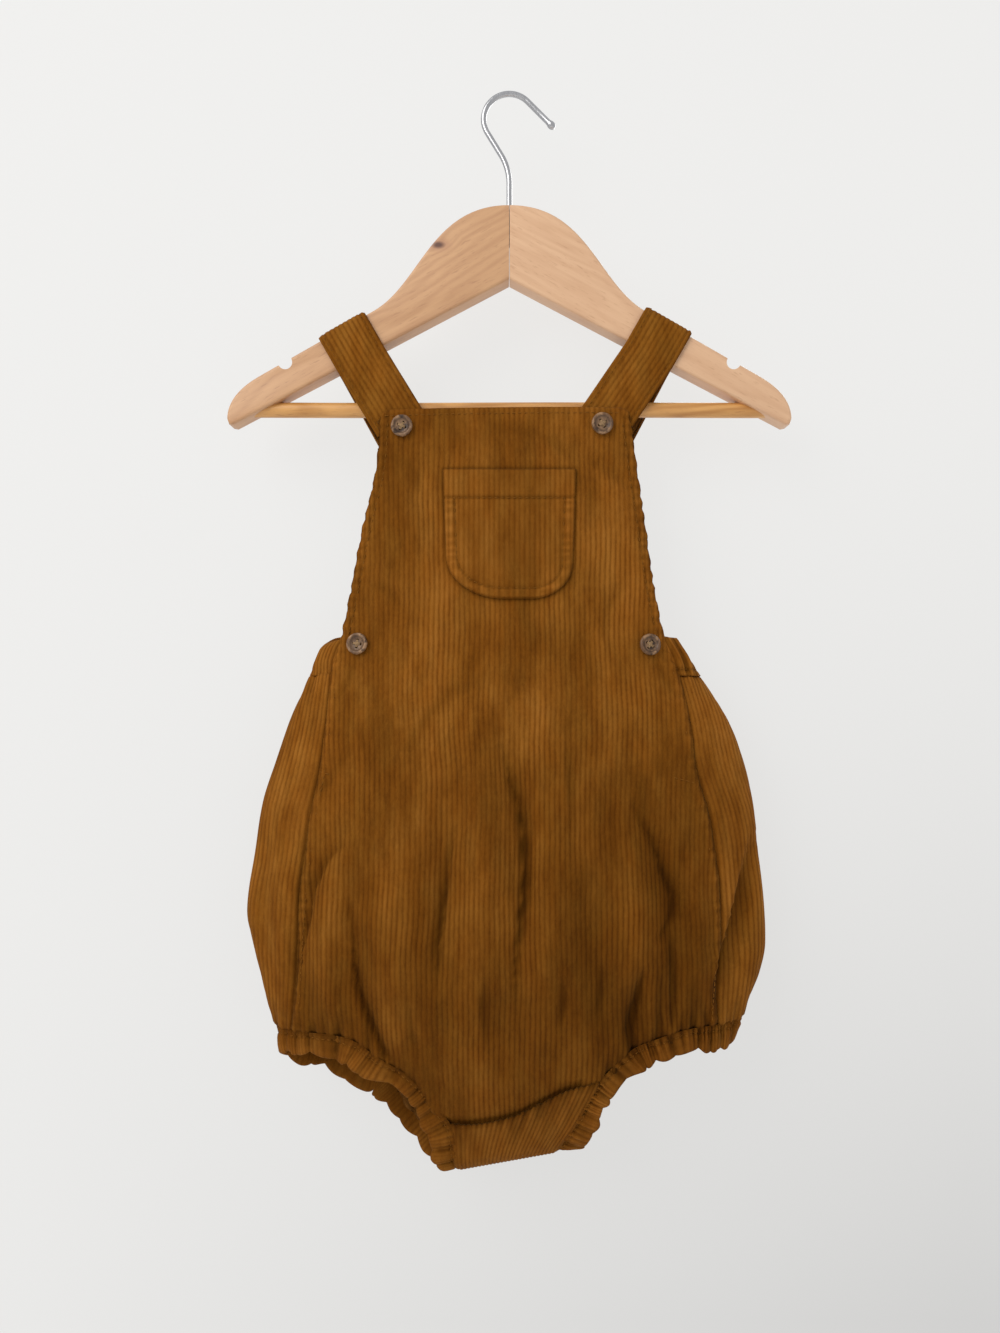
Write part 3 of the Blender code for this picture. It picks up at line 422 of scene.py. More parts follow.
def pileGroup():  # corduroy: ribs of pile over darker valleys (the ground's colour plus painted shade in the grooves), faded and rubbed, with painted shade and highlight from the shading values
    takes = [("Place", "Vector"), ("Weave", "Vector"), ("Fold", "Float"), ("Ridge", "Color")]
    takes += [("Valley", "Color"), ("Worn", "Color"), ("Rubbed", "Float")]
    tree, given, wanted = newGroup("corduroyPile", takes, [("Color", "Color"), ("Height", "Float")])
    weave = tree.nodes.new("ShaderNodeSeparateXYZ")
    tree.links.new(given["Weave"], weave.inputs[0])
    wave = calc(tree, "SINE", calc(tree, "MULTIPLY", weave.outputs["X"], math.pi))
    ridge = calc(tree, "POWER", calc(tree, "ABSOLUTE", wave), 0.8)
    place = given["Place"]
    tufts = cloudy(tree, place, (1500, 1500, 620), rough=0.65)
    specks = cloudy(tree, place, (620, 620, 300), detail=4, rough=0.7)
    rib = tree.nodes.new("ShaderNodeCombineXYZ")  # one tone for a rib, changing slowly along it
    tree.links.new(calc(tree, "MULTIPLY", calc(tree, "FLOOR", weave.outputs["X"]), 3.7), rib.inputs["X"])
    tree.links.new(calc(tree, "MULTIPLY", weave.outputs["Y"], 0.13), rib.inputs["Y"])
    ribTone = cloudy(tree, rib.outputs[0], rough=0.6)
    faded = cloudy(tree, place, (36, 36, 13), detail=4, rough=0.6)
    blotch = cloudy(tree, place, (120, 120, 45), (2, 5, 1))
    rubbing = cloudy(tree, place, (210, 210, 36), (7, 0, 3), rough=0.6)
    crisp = spread(tree, cloudy(tree, place, (32, 32, 24), (4, 4, 0)), 0.35, 0.65, 0.3, 1.0)
    pile = calc(tree, "MULTIPLY", calc(tree, "SUBTRACT", ridge, 0.6), crisp)
    for noise, low, high in ((tufts, 0.38, 0.72), (specks, -0.2, 0.2), (rubbing, -0.2, 0.2)):
        pile = calc(tree, "ADD", pile, spread(tree, noise, 0.3, 0.7, low, high))
    pile = calc(tree, "ADD", pile, spread(tree, ribTone, 0.3, 0.7, -0.18, 0.18), clamp=True)
    # valleys darker than ridges: the ground's colour plus painted shade in the grooves
    color = mixColor(tree, pile, given["Valley"], given["Ridge"])
    rub = calc(tree, "MULTIPLY", spread(tree, faded, 0.42, 0.72), spread(tree, ridge, 0.55, 1.0))
    rub = calc(tree, "MULTIPLY", rub, given["Rubbed"])
    color = mixColor(tree, rub, color, given["Worn"])
    tone = spread(tree, faded, 0.3, 0.7, 0.66, 1.12)
    tone = calc(tree, "MULTIPLY", tone, spread(tree, blotch, 0.3, 0.7, 0.84, 1.16))
    # painted shade and painted highlight: darker where the shading values are high, lighter where they are
    # low
    tone = calc(tree, "MULTIPLY", tone, spread(tree, given["Fold"], -1.0, 1.0, 1.35, 0.25))
    grey = tree.nodes.new("ShaderNodeCombineColor")
    for socket, power in zip(grey.inputs[:3], (1.0, 1.06, 1.65)):  # darker is redder too
        tree.links.new(calc(tree, "POWER", tone, power), socket)
    color = mixColor(tree, 1.0, color, grey.outputs[0], "MULTIPLY")
    hue = mixColor(tree, spread(tree, blotch, 0.35, 0.65), (1.05, 0.96, 0.95, 1), (0.97, 0.99, 1.15, 1))
    tree.links.new(mixColor(tree, 1.0, color, hue, "MULTIPLY"), wanted["Color"])
    height = calc(tree, "ADD", calc(tree, "MULTIPLY", specks, 0.5), calc(tree, "MULTIPLY", tufts, 0.5))
    tree.links.new(height, wanted["Height"])
    return tree


def grainGroup():  # planed wood; Place has its X along the grain
    takes = [("Place", "Vector"), ("Light", "Color"), ("Dark", "Color"), ("Pore", "Color")]
    takes += [("Bands", "Float")]
    tree, given, wanted = newGroup("planedGrain", takes, [("Color", "Color"), ("Height", "Float")])
    drift = cloudy(tree, given["Place"], (7, 30, 30), rough=0.5)
    axes = tree.nodes.new("ShaderNodeSeparateXYZ")
    tree.links.new(given["Place"], axes.inputs[0])
    years = calc(tree, "ADD", axes.outputs["Z"], calc(tree, "MULTIPLY", drift, 0.06))
    years = spread(tree, calc(tree, "SINE", calc(tree, "MULTIPLY", years, 900)), -1.0, 1.0)
    fine = cloudy(tree, given["Place"], (25, 420, 420), detail=4, rough=0.6)
    flecks = cloudy(tree, given["Place"], (160, 1500, 1500), detail=2)
    share = calc(tree, "MULTIPLY", calc(tree, "POWER", years, 1.6), given["Bands"])
    share = calc(tree, "ADD", share, spread(tree, fine, 0.35, 0.7, 0.0, 0.45), clamp=True)
    color = mixColor(tree, share, given["Light"], given["Dark"])
    pores = spread(tree, flecks, 0.6, 0.72)
    color = mixColor(tree, calc(tree, "MULTIPLY", pores, 0.5), color, given["Pore"])
    tree.links.new(color, wanted["Color"])
    tree.links.new(calc(tree, "SUBTRACT", calc(tree, "MULTIPLY", fine, 0.4), pores), wanted["Height"])
    return tree


corduroyPile, planedGrain = pileGroup(), grainGroup()


def newMaterial(name, roughness, **shown):
    finish = bpy.data.materials.new(name)
    finish.use_nodes = True
    tree = finish.node_tree
    shader = tree.nodes["Principled BSDF"]
    shader.inputs["Roughness"].default_value = roughness
    for label, value in shown.items():
        shader.inputs[label.replace("_", " ")].default_value = value
    return finish, tree, shader


def objectPlace(tree):
    return tree.nodes.new("ShaderNodeTexCoord").outputs["Object"]


def addGroup(tree, group, values):
    node = tree.nodes.new("ShaderNodeGroup")
    node.node_tree = group
    for label, value in values.items():
        feed(tree, node.inputs[label], value)
    return node.outputs


def addBump(tree, shader, height, strength, distance):
    bump = tree.nodes.new("ShaderNodeBump")
    bump.inputs["Strength"].default_value = strength
    bump.inputs["Distance"].default_value = distance
    tree.links.new(height, bump.inputs["Height"])
    tree.links.new(bump.outputs["Normal"], shader.inputs["Normal"])


def corduroyMaterial(name, ridge, valley, worn, rubbed, bump=0.55):
    sheen = {"Sheen_Weight": 0.06, "Sheen_Roughness": 0.4, "Sheen_Tint": (1.0, 0.6, 0.2, 1)}
    finish, tree, shader = newMaterial(name, 0.9, Specular_IOR_Level=0.05, **sheen)
    places = tree.nodes.new("ShaderNodeTexCoord")
    # painted shade and highlight, read from the mesh's shading values
    paintedShading = tree.nodes.new("ShaderNodeAttribute")
    paintedShading.attribute_name = "paintedShading"
    values = {"Place": places.outputs["Object"], "Weave": places.outputs["UV"], "Fold": paintedShading.outputs["Fac"]}
    values |= {"Ridge": (*ridge, 1), "Valley": (*valley, 1), "Worn": (*worn, 1), "Rubbed": rubbed}
    pile = addGroup(tree, corduroyPile, values)
    tree.links.new(pile["Color"], shader.inputs["Base Color"])
    addBump(tree, shader, pile["Height"], bump, 0.0005)
    return finish


def woodMaterial(name, light, dark, pore, bands, turn, roughness=0.42, coat=0.15, knot=None):
    finish, tree, shader = newMaterial(name, roughness, Coat_Weight=coat, Coat_Roughness=0.3)
    place = objectPlace(tree)
    if knot is not None:  # the grain bends round a knot, which is dark in its middle
        node = tree.nodes.new("ShaderNodeVectorMath")
        node.operation = "LENGTH"
        tree.links.new(stretch(tree, place, knot["scale"], shift=knot["shift"]), node.inputs[0])
        near = node.outputs["Value"]
        lift = spread(tree, near, 0.4, 3.2, knot["bend"], 0.0)
        shift = tree.nodes.new("ShaderNodeCombineXYZ")
        tree.links.new(lift, shift.inputs["Z"])
        total = tree.nodes.new("ShaderNodeVectorMath")
        tree.links.new(place, total.inputs[0])
        tree.links.new(shift.outputs[0], total.inputs[1])
        place = total.outputs[0]
    values = {"Light": (*light, 1), "Dark": (*dark, 1), "Pore": (*pore, 1), "Bands": bands}
    grain = addGroup(tree, planedGrain, values | {"Place": stretch(tree, place, (1, 1, 1), turn)})
    color = grain["Color"]
    if knot is not None:
        color = mixColor(tree, spread(tree, near, 0.9, 1.9, 0.55, 0.0), color, (*knot["ring"], 1))
        color = mixColor(tree, spread(tree, near, 0.5, 1.0, 0.95, 0.0), color, (*knot["heart"], 1))
    tree.links.new(color, shader.inputs["Base Color"])
    addBump(tree, shader, grain["Height"], 0.12, 0.0002)
    return finish


def hornMaterial():
    finish, tree, shader = newMaterial("mottledHorn", 0.45, Specular_IOR_Level=0.3, Coat_Weight=0.08)
    place = objectPlace(tree)
    streaks = cloudy(tree, place, (260, 260, 130), detail=2, warp=0.8)
    dark = cloudy(tree, place, (210, 210, 260), (3, 1, 2), detail=2)
    color = mixColor(tree, spread(tree, streaks, 0.38, 0.62), (0.13, 0.065, 0.03, 1), (0.34, 0.195, 0.1, 1))
    color = mixColor(tree, spread(tree, dark, 0.52, 0.66), color, (0.05, 0.026, 0.014, 1))
    # painted shade: dark in the dish where the rim rises and round the holes
    dishShade = tree.nodes.new("ShaderNodeAttribute")
    dishShade.attribute_name = "dishShade"
    color = mixColor(tree, calc(tree, "MULTIPLY", dishShade.outputs["Fac"], 0.75), color, (0.035, 0.018, 0.01, 1))
    tree.links.new(color, shader.inputs["Base Color"])
    addBump(tree, shader, streaks, 0.05, 0.0002)
    return finish


def threadMaterial(name, color):
    finish, tree, shader = newMaterial(name, 0.85, Specular_IOR_Level=0.08)
    place = objectPlace(tree)
    twist = cloudy(tree, place, (2600, 2600, 2600), detail=2)
    dim = tuple(0.6 * part for part in color)
    shade = mixColor(tree, spread(tree, twist, 0.35, 0.65), (*dim, 1), (*color, 1))
    tree.links.new(shade, shader.inputs["Base Color"])
    addBump(tree, shader, twist, 0.4, 0.0001)
    return finish


def steelMaterial():
    finish, tree, shader = newMaterial("zincWire", 0.24, Metallic=1.0)
    place = objectPlace(tree)
    rub = cloudy(tree, place, (900, 900, 120), detail=4, rough=0.7)
    grey = mixColor(tree, rub, (0.36, 0.36, 0.37, 1), (0.6, 0.6, 0.61, 1))
    tree.links.new(grey, shader.inputs["Base Color"])
    tree.links.new(spread(tree, rub, 0.3, 0.7, 0.16, 0.34), shader.inputs["Roughness"])
    addBump(tree, shader, rub, 0.06, 0.0001)
    return finish


def reverseMaterial():  # the flat wrong side of the cloth, darkened as painted shade for the insides seen through the openings
    finish, tree, shader = newMaterial("corduroyReverse", 0.95, Specular_IOR_Level=0.05)
    place = objectPlace(tree)
    twill = cloudy(tree, place, (1800, 1800, 1800), turn=(0, 0.7, 0), detail=2)
    worn = cloudy(tree, place, (40, 40, 40))
    color = mixColor(tree, spread(tree, twill, 0.35, 0.65), (0.07, 0.025, 0.004, 1), (0.14, 0.055, 0.01, 1))
    color = mixColor(tree, spread(tree, worn, 0.4, 0.7, 0.0, 0.4), color, (0.17, 0.07, 0.014, 1))
    tree.links.new(color, shader.inputs["Base Color"])
    addBump(tree, shader, twill, 0.5, 0.0003)
    return finish


browns = {  # each cloth's ridges, valleys and worn pile, and how rubbed it is; the valleys' darker colour is the ground's own colour plus painted shade in the grooves
    "tobacco": ((0.31, 0.115, 0.013), (0.18, 0.061, 0.006), (0.38, 0.155, 0.024), 0.5),
    # painted light: the straps' copy of the same fabric is lighter than the body's
    "strap": ((0.355, 0.137, 0.0165), (0.195, 0.067, 0.0065), (0.38, 0.155, 0.024), 0.5),
    "pocket": ((0.285, 0.106, 0.012), (0.193, 0.067, 0.0065), (0.38, 0.155, 0.024), 0.5),
    "band": ((0.242, 0.089, 0.0105), (0.163, 0.056, 0.0055), (0.32, 0.126, 0.018), 0.6),
}
corduroy, strapCloth, pocketCloth, bandCloth = (
    corduroyMaterial(name + "Corduroy", *shades) for name, shades in browns.items()
)
reverse = reverseMaterial()
horn, steel = hornMaterial(), steelMaterial()
thread = threadMaterial("topstitchThread", (0.25, 0.095, 0.012))
buttonThread = threadMaterial("buttonThread", (0.36, 0.23, 0.12))
print("materials are ready")


def meshFrom(bm, name):
    mesh = bpy.data.meshes.new(name)
    bm.to_mesh(mesh)
    bm.free()
    return mesh


def finishPiece(thing, replaces):
    for face in thing.data.polygons:
        face.use_smooth = True
    bpy.context.scene.collection.objects.link(thing)
    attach(thing, "root")
    if replaces:
        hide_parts(*replaces)
    return thing


def clothShell(name, points, weave, paintedShading, finish, thickness, replaces=(), closed=False):
    rows, columns = points.shape[:2]  # rows run down, columns to the right, seen from outside
    bm = bmesh.new()
    bmesh.ops.create_grid(bm, x_segments=columns - 1, y_segments=rows - 1, size=0.5)
    mesh = meshFrom(bm, name)
    spots = np.empty(len(mesh.vertices) * 3)
    mesh.vertices.foreach_get("co", spots)
    spots = spots.reshape(-1, 3)
    column = np.rint((spots[:, 0] / np.ptp(spots[:, 0]) + 0.5) * (columns - 1)).astype(int)
    row = np.rint((0.5 - spots[:, 1] / np.ptp(spots[:, 1])) * (rows - 1)).astype(int)
    mesh.vertices.foreach_set("co", (points[row, column] * mm).ravel())
    corners = np.empty(len(mesh.loops), np.int32)
    mesh.loops.foreach_get("vertex_index", corners)
    layer = mesh.uv_layers.new(name="weave")
    layer.data.foreach_set("uv", weave[row, column][corners].ravel())
    # the shading values, painted shade and painted highlight, go on the mesh as a point attribute
    depth = mesh.attributes.new("paintedShading", "FLOAT", "POINT")
    depth.data.foreach_set("value", np.broadcast_to(paintedShading, (rows, columns))[row, column].astype(np.float32))
    bm = bmesh.new()
    bm.from_mesh(mesh)
    bmesh.ops.remove_doubles(bm, verts=bm.verts, dist=0.00002)
    if closed:
        bmesh.ops.recalc_face_normals(bm, faces=bm.faces)
    bm.to_mesh(mesh)
    bm.free()
    mesh.materials.append(finish)
    thing = bpy.data.objects.new(name, mesh)
    if thickness:
        mesh.materials.append(reverse)
        wall = thing.modifiers.new("thickness", "SOLIDIFY")
        wall.thickness, wall.offset, wall.material_offset = thickness * mm, -1, 1
    return finishPiece(thing, replaces)


# The pocket's outline is needed by the bib as well, which is dented round it
pocket = {
    "topZ": -202.7,
    "lowZ": -271.0,
    "topHalf": 35.1,
    "lowHalf": 32.4,
    "cornersWide": (29.0, 21.0),  # to the left and to the right
    "cornersTall": (22.0, 18.0),
    "thick": 1.4,
    "hemZ": -217.5,
    "stitchIn": 5.6,
    "rows": 76,
    "hemStep": 0.5,
    "stitchDent": 0.5,
    "pucker": 0.28,
    "sag": 0.8,  # its top hangs open in the middle
}
crotchRows = (  # x and z at its left and right ends, y, and whether the row lies on the front
    (-31, -545.5, 46.8, -521, 0, True),
    (-30.5, -553, 41, -534, 0, True),
    (-30, -561, 34.5, -547, 0, True),
    (-29.3, -568, 29, -557, -12.5, False),
    (-28.5, -573.5, 26.5, -563.5, -7.5, False),
    (-28, -576, 26, -566.5, 0, False),
    (-28.5, -573, 27, -564.5, 6.5, False),
    (-30, -564, 29, -560, 9.8, False),
    (-32, -553, 33, -553, 11.4, False),
)
bandSag = smoothCurve((0, 0.2, 0.4, 0.6, 0.8, 1), (0, -4.5, -5.5, -2.5, 0.8, 0))  # the crotch band's top edge


def pocketSide(z):
    tall = pocket["topZ"] - pocket["lowZ"]
    return pocket["lowHalf"] + (pocket["topHalf"] - pocket["lowHalf"]) * (z - pocket["lowZ"]) / tall


def pocketEdge(x, z):  # how far outside the pocket's sides and foot a place is, and less than 0 inside
    wide = np.where(x < 0, *pocket["cornersWide"])
    tall = np.where(x < 0, *pocket["cornersTall"])
    fromSide = np.abs(x) - pocketSide(z)
    across, below = np.maximum(fromSide + wide, 0) / wide, np.maximum((pocket["lowZ"] + tall - z) / tall, 0)
    inCorner = (across > 0) & (below > 0)
    reach = np.maximum(np.hypot(across, below), 0.01)
    inset = (reach - 1) * (wide * across**2 + tall * below**2) / reach**2
    edge = np.where(inCorner, inset, np.maximum(fromSide, pocket["lowZ"] - z))
    return np.maximum(edge, z - pocket["topZ"])


# Front panel: bib and body in one, wales upright, the bib's edges cutting across them
frontPanel = {
    "bibTopLeft": -171.0,
    "bibTopRight": -169.4,
    "topWidth": 131.0,
    "corner": 6.5,
    "bibRows": 84,
    "bodyRows": 80,
    "edgeRoll": 1.1,  # how far a side edge rolls back
    "seamRoll": 0.9,
    "tuck": 1.3,  # how far it goes in at the leg bands
    "bandTuck": 1.5,  # and over the crotch band's top edge
    "seam": 0.9,  # the side seams' ridge below the bib
    "stitchDent": 0.3,
    "bump": 0.35,  # the stitched side edges are lumpy
    "bumpPitch": 9.5,
    "stitchIn": 4.8,
    "snap": 0.2,  # a column of points that comes this near an edge ends on it
}


def frontRows(downs, isBib, share, under):
    if isBib:
        top = frontPanel["bibTopLeft"] + (frontPanel["bibTopRight"] - frontPanel["bibTopLeft"]) * share
        short = np.maximum(0, frontPanel["corner"] - np.minimum(share, 1 - share) * frontPanel["topWidth"])
        top = top - frontPanel["corner"] + np.sqrt(frontPanel["corner"] ** 2 - short**2)
        z = top + (cloth["backTop"] - top) * downs[:, None]
    else:
        width = edgeLeft(cloth["hemRing"]) + edgeRight(cloth["hemRing"])
        low = frontHem(width * share - edgeLeft(cloth["hemRing"])) - under
        z = cloth["backTop"] + (low - cloth["backTop"]) * downs[:, None]
    lumps = frontPanel["bump"] * smoothStep((z + 296) / 6)
    turns = 2 * np.pi * z / frontPanel["bumpPitch"] + 1.4 * np.sin(z * 0.17)
    left = -edgeLeft(z[:, :1]) - lumps[:, :1] * np.sin(turns[:, :1])
    right = edgeRight(z[:, -1:]) + lumps[:, -1:] * np.sin(turns[:, -1:] + 2)
    return left + (right - left) * share, z


def stack(first, second):
    return tuple(np.concatenate(pair) for pair in zip(first, second))


def frontGrid(share, bibRows, bodyRows, under=0.0):  # under is how far the cloth goes on behind the leg bands
    bib = frontRows(np.linspace(0, 1, bibRows)[:-1], True, share, under)
    return stack(bib, frontRows(np.linspace(0, 1, bodyRows), False, share, under))


frontGathers = gatherRow(-113, -43, 6.5, 14, 1.1, 0.12) + gatherRow(47, 108, 6.3, 16, 1.4, -0.1)
frontGathers += [(63.5, -0.15, 34, 1.3, 2.0), (77, 0.02, 42, 1.4, 2.2), (95, -0.02, 30, 1.2, 2.0)]
frontGathers += [(-90, 0.1, 30, 0.7, 2.4), (-104, 0.0, 26, 0.7, 2.2)]


def makeFront():
    fine = np.linspace(0, 1, 600)
    x, z = frontGrid(fine, frontPanel["bibRows"], frontPanel["bodyRows"], cloth["under"])
    points = frontSkin(x, z)
    steps = np.hypot(np.diff(points[..., 0], axis=1), np.diff(points[..., 1], axis=1))
    flat = np.concatenate([np.zeros((len(x), 1)), np.cumsum(steps, axis=1)], axis=1)
    flat -= np.array([np.interp(0, rowX, rowS) for rowX, rowS in zip(x, flat)])[:, None]
    step = cloth["wale"] / cloth["samples"]
    lines = np.arange(math.floor(flat.min() / step), math.ceil(flat.max() / step) + 1) * step
    start, end, snap = flat[:, :1], flat[:, -1:], frontPanel["snap"]
    s = np.where(lines < start + snap, start, np.where(lines > end - snap, end, lines))
    share = np.array([np.interp(rowLines, rowS, fine) for rowLines, rowS in zip(s, flat)])
    x, z = (np.array([np.interp(at, fine, row) for at, row in zip(share, part)]) for part in (x, z))
    points, normals = frontSkin(x, z), frontNormal(x, z)
    toEdge = np.minimum(s - start, end - s)
    below = z - frontHem(x)
    onBib = smoothStep((z + 300) / 12)
    pull = gathers(x, below, frontGathers) * smoothStep((np.abs(x) - 40) / 8)
    sharp = foldLines(frontLines, x, z)
    onLeg = smoothStep((np.abs(x + 3) - 38) / 5)
    tuck = frontPanel["tuck"] * onLeg * (1 - smoothStep((below - 1.0) / 2.0))
    leftX, leftZ, rightX, rightZ = crotchRows[0][:4]
    across = np.clip((x - leftX) / (rightX - leftX), 0, 1)
    bandTop = leftZ + (rightZ - leftZ) * across + bandSag(across)
    tuck = tuck + frontPanel["bandTuck"] * (1 - onLeg) * bell(z - bandTop - 0.5, 2.6)
    nearPocket = bell(np.maximum(pocketEdge(x, z), 0), 1.3)
    sewn = onBib * frontPanel["stitchDent"] * bell(toEdge - frontPanel["stitchIn"], 0.7)
    bunched = (0.2 + 0.2 * onBib) * bell(toEdge, 6) * np.sin(z * 2 * np.pi / 5.4 + 1.2 * np.sin(z * 0.21))
    topDrop = np.maximum(0, 1 - (z.max() - z) / 1.5) ** 2
    roll = onBib * frontPanel["edgeRoll"] * bell(toEdge, 1.3)
    roll = roll + (1 - onBib) * frontPanel["seamRoll"] * bell(toEdge, 1.6)
    seam = (1 - onBib) * bell(toEdge - 2.6, 1.8) * (0.6 + 0.4 * np.sin(z * 0.83 + 2 * np.sin(z * 0.19)))
    wales = s / cloth["wale"] + waver(s, z)
    relief = cloth["relief"] * (ridges(wales) - 0.6) + frontPanel["seam"] * seam
    points = points + normals * (relief - roll - pull - topDrop - sharp - tuck - sewn + bunched)[..., None]
    weave = np.stack([wales, z / cloth["wale"]], axis=-1)
    # Painted shade and painted highlight as shading values: darker in the creases, gathers, rolled edges,
    # tucks, stitch dents and round the pocket, lighter on the seams' ridges, and lighter and darker along the
    # bunched edges
    paintedShading = crease(frontFolds, x, z) / 34 + pull / 3.5 + roll * 0.35 + sharp / 8 + tuck / 3 + sewn
    paintedShading = paintedShading - bunched * 0.5 + foldLines(frontLines, x, z, 0.65) / 6
    paintedShading = paintedShading + nearPocket * (pocketEdge(x, z) > -2) * 0.5 - 0.25 * seam
    # Painted shade: darker towards the foot and on the right, where the light from the left falls off, and on
    # the bib's left; the bib is a little lighter as painted light
    shade = 0.22 * smoothStep((-300 - z) / 150) + 0.2 * smoothStep((-430 - z) / 50)
    onRight = smoothStep((x + 5) / 45) * smoothStep((-320 - z) / 50)
    shade = shade + 0.26 * onRight * (1 - 0.3 * smoothStep((-440 - z) / 40))
    paintedShading = paintedShading + shade - 0.05 * onBib + 0.12 * smoothStep((-20 - x) / 30) * smoothStep((z + 300) / 20)
    paintedShading = np.clip(paintedShading, -1, 1)
    piece = clothShell("frontPanel", points, weave, paintedShading, corduroy, cloth["shell"], ["front_panel"])
    return piece


makeFront()
print("front panel is sewn")

# Back panel: wales run from the gathered waist over the full hips to the hem
backPanel = {"run": 330, "wales": 124, "rows": 90, "waistGather": 1.2, "hemGather": 1.5, "seamRoll": 2.4}


def makeBack():
    shares = np.linspace(0, 1, backPanel["wales"] * cloth["samples"] + 1)
    ring = skin(backAngles(shares, cloth["hemRing"]), cloth["hemRing"])
    hem = backHem(ring[:, 0]) - cloth["under"] - hemDroop(ring[:, 0]) * (ring[:, 1] > 0)
    down = np.linspace(0, 1, backPanel["rows"])[:, None]
    z = cloth["backTop"] + (hem - cloth["backTop"]) * down
    angle = anglesAt(shares, z, np.arange(-566, -305, 3.0))
    points = skin(angle, z)
    turn, reach = 0.008, 0.8
    downWay = skin(angle, z - reach) - skin(angle, z + reach)
    normals = unit(np.cross(downWay, skin(angle + turn, z) - skin(angle - turn, z)))
    run = backPanel["run"]
    across, above = shares * run, z - hem - cloth["under"]
    waist = gathers(across, cloth["backTop"] - z, gatherRow(0, run, 7.5, 22, backPanel["waistGather"]))
    low = gathers(across, above, gatherRow(0, 108, 7, 18, backPanel["hemGather"], -0.05))
    low = low + gathers(across, above, gatherRow(222, run, 7, 18, backPanel["hemGather"], 0.05))
    toEdge = np.minimum(shares, 1 - shares) * run
    roll = backPanel["seamRoll"] * bell(toEdge, 2.7)
    onLeft = bell((1 - shares) * run, 26)
    tuck = 1.2 * (1 - onLeft) * bell(cloth["backTop"] - z, 1.6)
    tuck = tuck + 1.2 * (1 - smoothStep((above - 1.0) / 2.0))
    inFront, x = np.sin(angle) < 0, points[..., 0]
    sharp = np.where(inFront, foldLines(frontLines, x, z), foldLines(backLines, x, z))
    wales = shares * backPanel["wales"] + waver(across, z)
    relief = cloth["relief"] * (ridges(wales) - 0.6)
    points = points + normals * (relief - waist - low - roll - tuck - sharp)[..., None]
    weave = paired(wales, z / cloth["wale"])
    x = points[..., 0]
    # Painted shade as shading values: darker in the creases, gathers, rolled seams and tucks and towards the
    # foot; the sides that come round to the front are lighter as painted light
    paintedShading = np.where(inFront, crease(frontFolds, x, z), crease(backFolds, x, z)) / 34
    paintedShading = paintedShading + (waist + low) / 3.5 + roll * 0.5 + tuck / 3 + sharp / 4.4 + (-350 - z) / 650
    paintedShading = np.clip(paintedShading - 0.2 * inFront, -1, 1)
    piece = clothShell("backPanel", points, weave, paintedShading, corduroy, cloth["shell"], ["back_panel"])


makeBack()
print("back panel is sewn")

seams = []  # lines to be stitched: spots on the cloth and the ways out of it

# Back waist: an elastic casing, gathered, with a row of stitching along its foot
backWaist = {
    "top": -292.0,
    "rise": 5.5,
    "gathers": 22,
    "gatherDepth": 0.9,
    "profile": 24,
    "leftPuff": 2.4,  # the casing stands out where it comes round to the front
    "rightPuff": 2.2,
    "crumple": 0.7,
    "endTuck": 2.2,  # its ends go in behind the front panel
    "stitchDent": 0.6,
    "sewnShare": 0.92,
}


def makeWaist():
    shares = np.linspace(0, 1, backPanel["wales"] * cloth["samples"] + 1)
    fromLeft, fromRight = (1 - shares) * backPanel["run"], shares * backPanel["run"]
    top = backWaist["top"] + backWaist["rise"] * np.sin(np.pi * shares)
    top = top - 2.2 * bell(fromLeft - 15, 8) + 1.7 * bell(fromRight, 9)
    low = cloth["backTop"] - 1.3
    down = np.linspace(0, 1, backWaist["profile"])[:, None]
    z = top + (low - top) * down
    angle = anglesAt(shares, z, np.linspace(-312, -285, 10))
    middle = skin(angle, z)
    normals = unit(outward(middle) * (1, 1, 0))
    ends = smoothStep(shares * 40) * smoothStep((1 - shares) * 11)
    nearTop = np.sin(np.pi / 2 * np.clip(down * 4, 0, 1))
    bulge = backWaist["leftPuff"] * bell(fromLeft - 15, 15) * (1 - down) ** 0.7 * nearTop
    bulge = bulge - 1.6 * bell(fromLeft, 26) * smoothStep((down - 0.55) / 0.4)
    bulge = bulge + backWaist["rightPuff"] * bell(fromRight - 10, 9) * np.sin(np.pi * down) ** 0.7
    tucked = backWaist["endTuck"] * bell(np.minimum(shares, 1 - shares) * 260, 2.6)
    wave = (np.cos(2 * np.pi * backWaist["gathers"] * shares) - 1) / 2
    fineWave = gathers(shares * 200, 0 * shares, gatherRow(0, 200, 3.6, 10, 0.5))
    puff = np.sin(np.pi * np.clip(down * 1.02, 0, 1)) ** 0.5
    gather = ends * (backWaist["gatherDepth"] * wave * (0.6 + 0.4 * puff) - fineWave * puff)
    stitch = backWaist["stitchDent"] * bell(down - 0.84, 0.05) * smoothStep((fromLeft - 14) / 20)
    relief = 0.6 * cloth["relief"] * (ridges(shares * backPanel["wales"]) - 0.6)
    rim = 1.1 * (1 - puff) * (down < 0.5) + 0.3 * (1 - puff)
    points = middle + normals * (0.9 + gather + relief + bulge - stitch - rim - tucked)[..., None]
    weave = paired(shares * backPanel["wales"], z / cloth["wale"])
    crumple = bell(fromRight, 34) * np.sin(fromRight * 0.95 + 1.5 * down + 0.8)
    points = points + backWaist["crumple"] * (normals * (crumple * puff)[..., None])
    # Painted shade and highlight: darker at the stitch row and the rim, lighter where the gathers and
    # crumples stand out, and a little lighter overall
    paintedShading = np.clip(-gather / 3 - 0.45 * crumple + stitch * 0.8 + rim * 0.2 - 0.15, -1, 1)
    piece = clothShell("backWaist", points, weave, paintedShading, corduroy, 1.6, ["back_waistband"])
    sewn = slice(0, int(len(shares) * backWaist["sewnShare"]))
    seams.append((points[19, sewn], normals[19, sewn]))


makeWaist()
print("back waist is gathered")

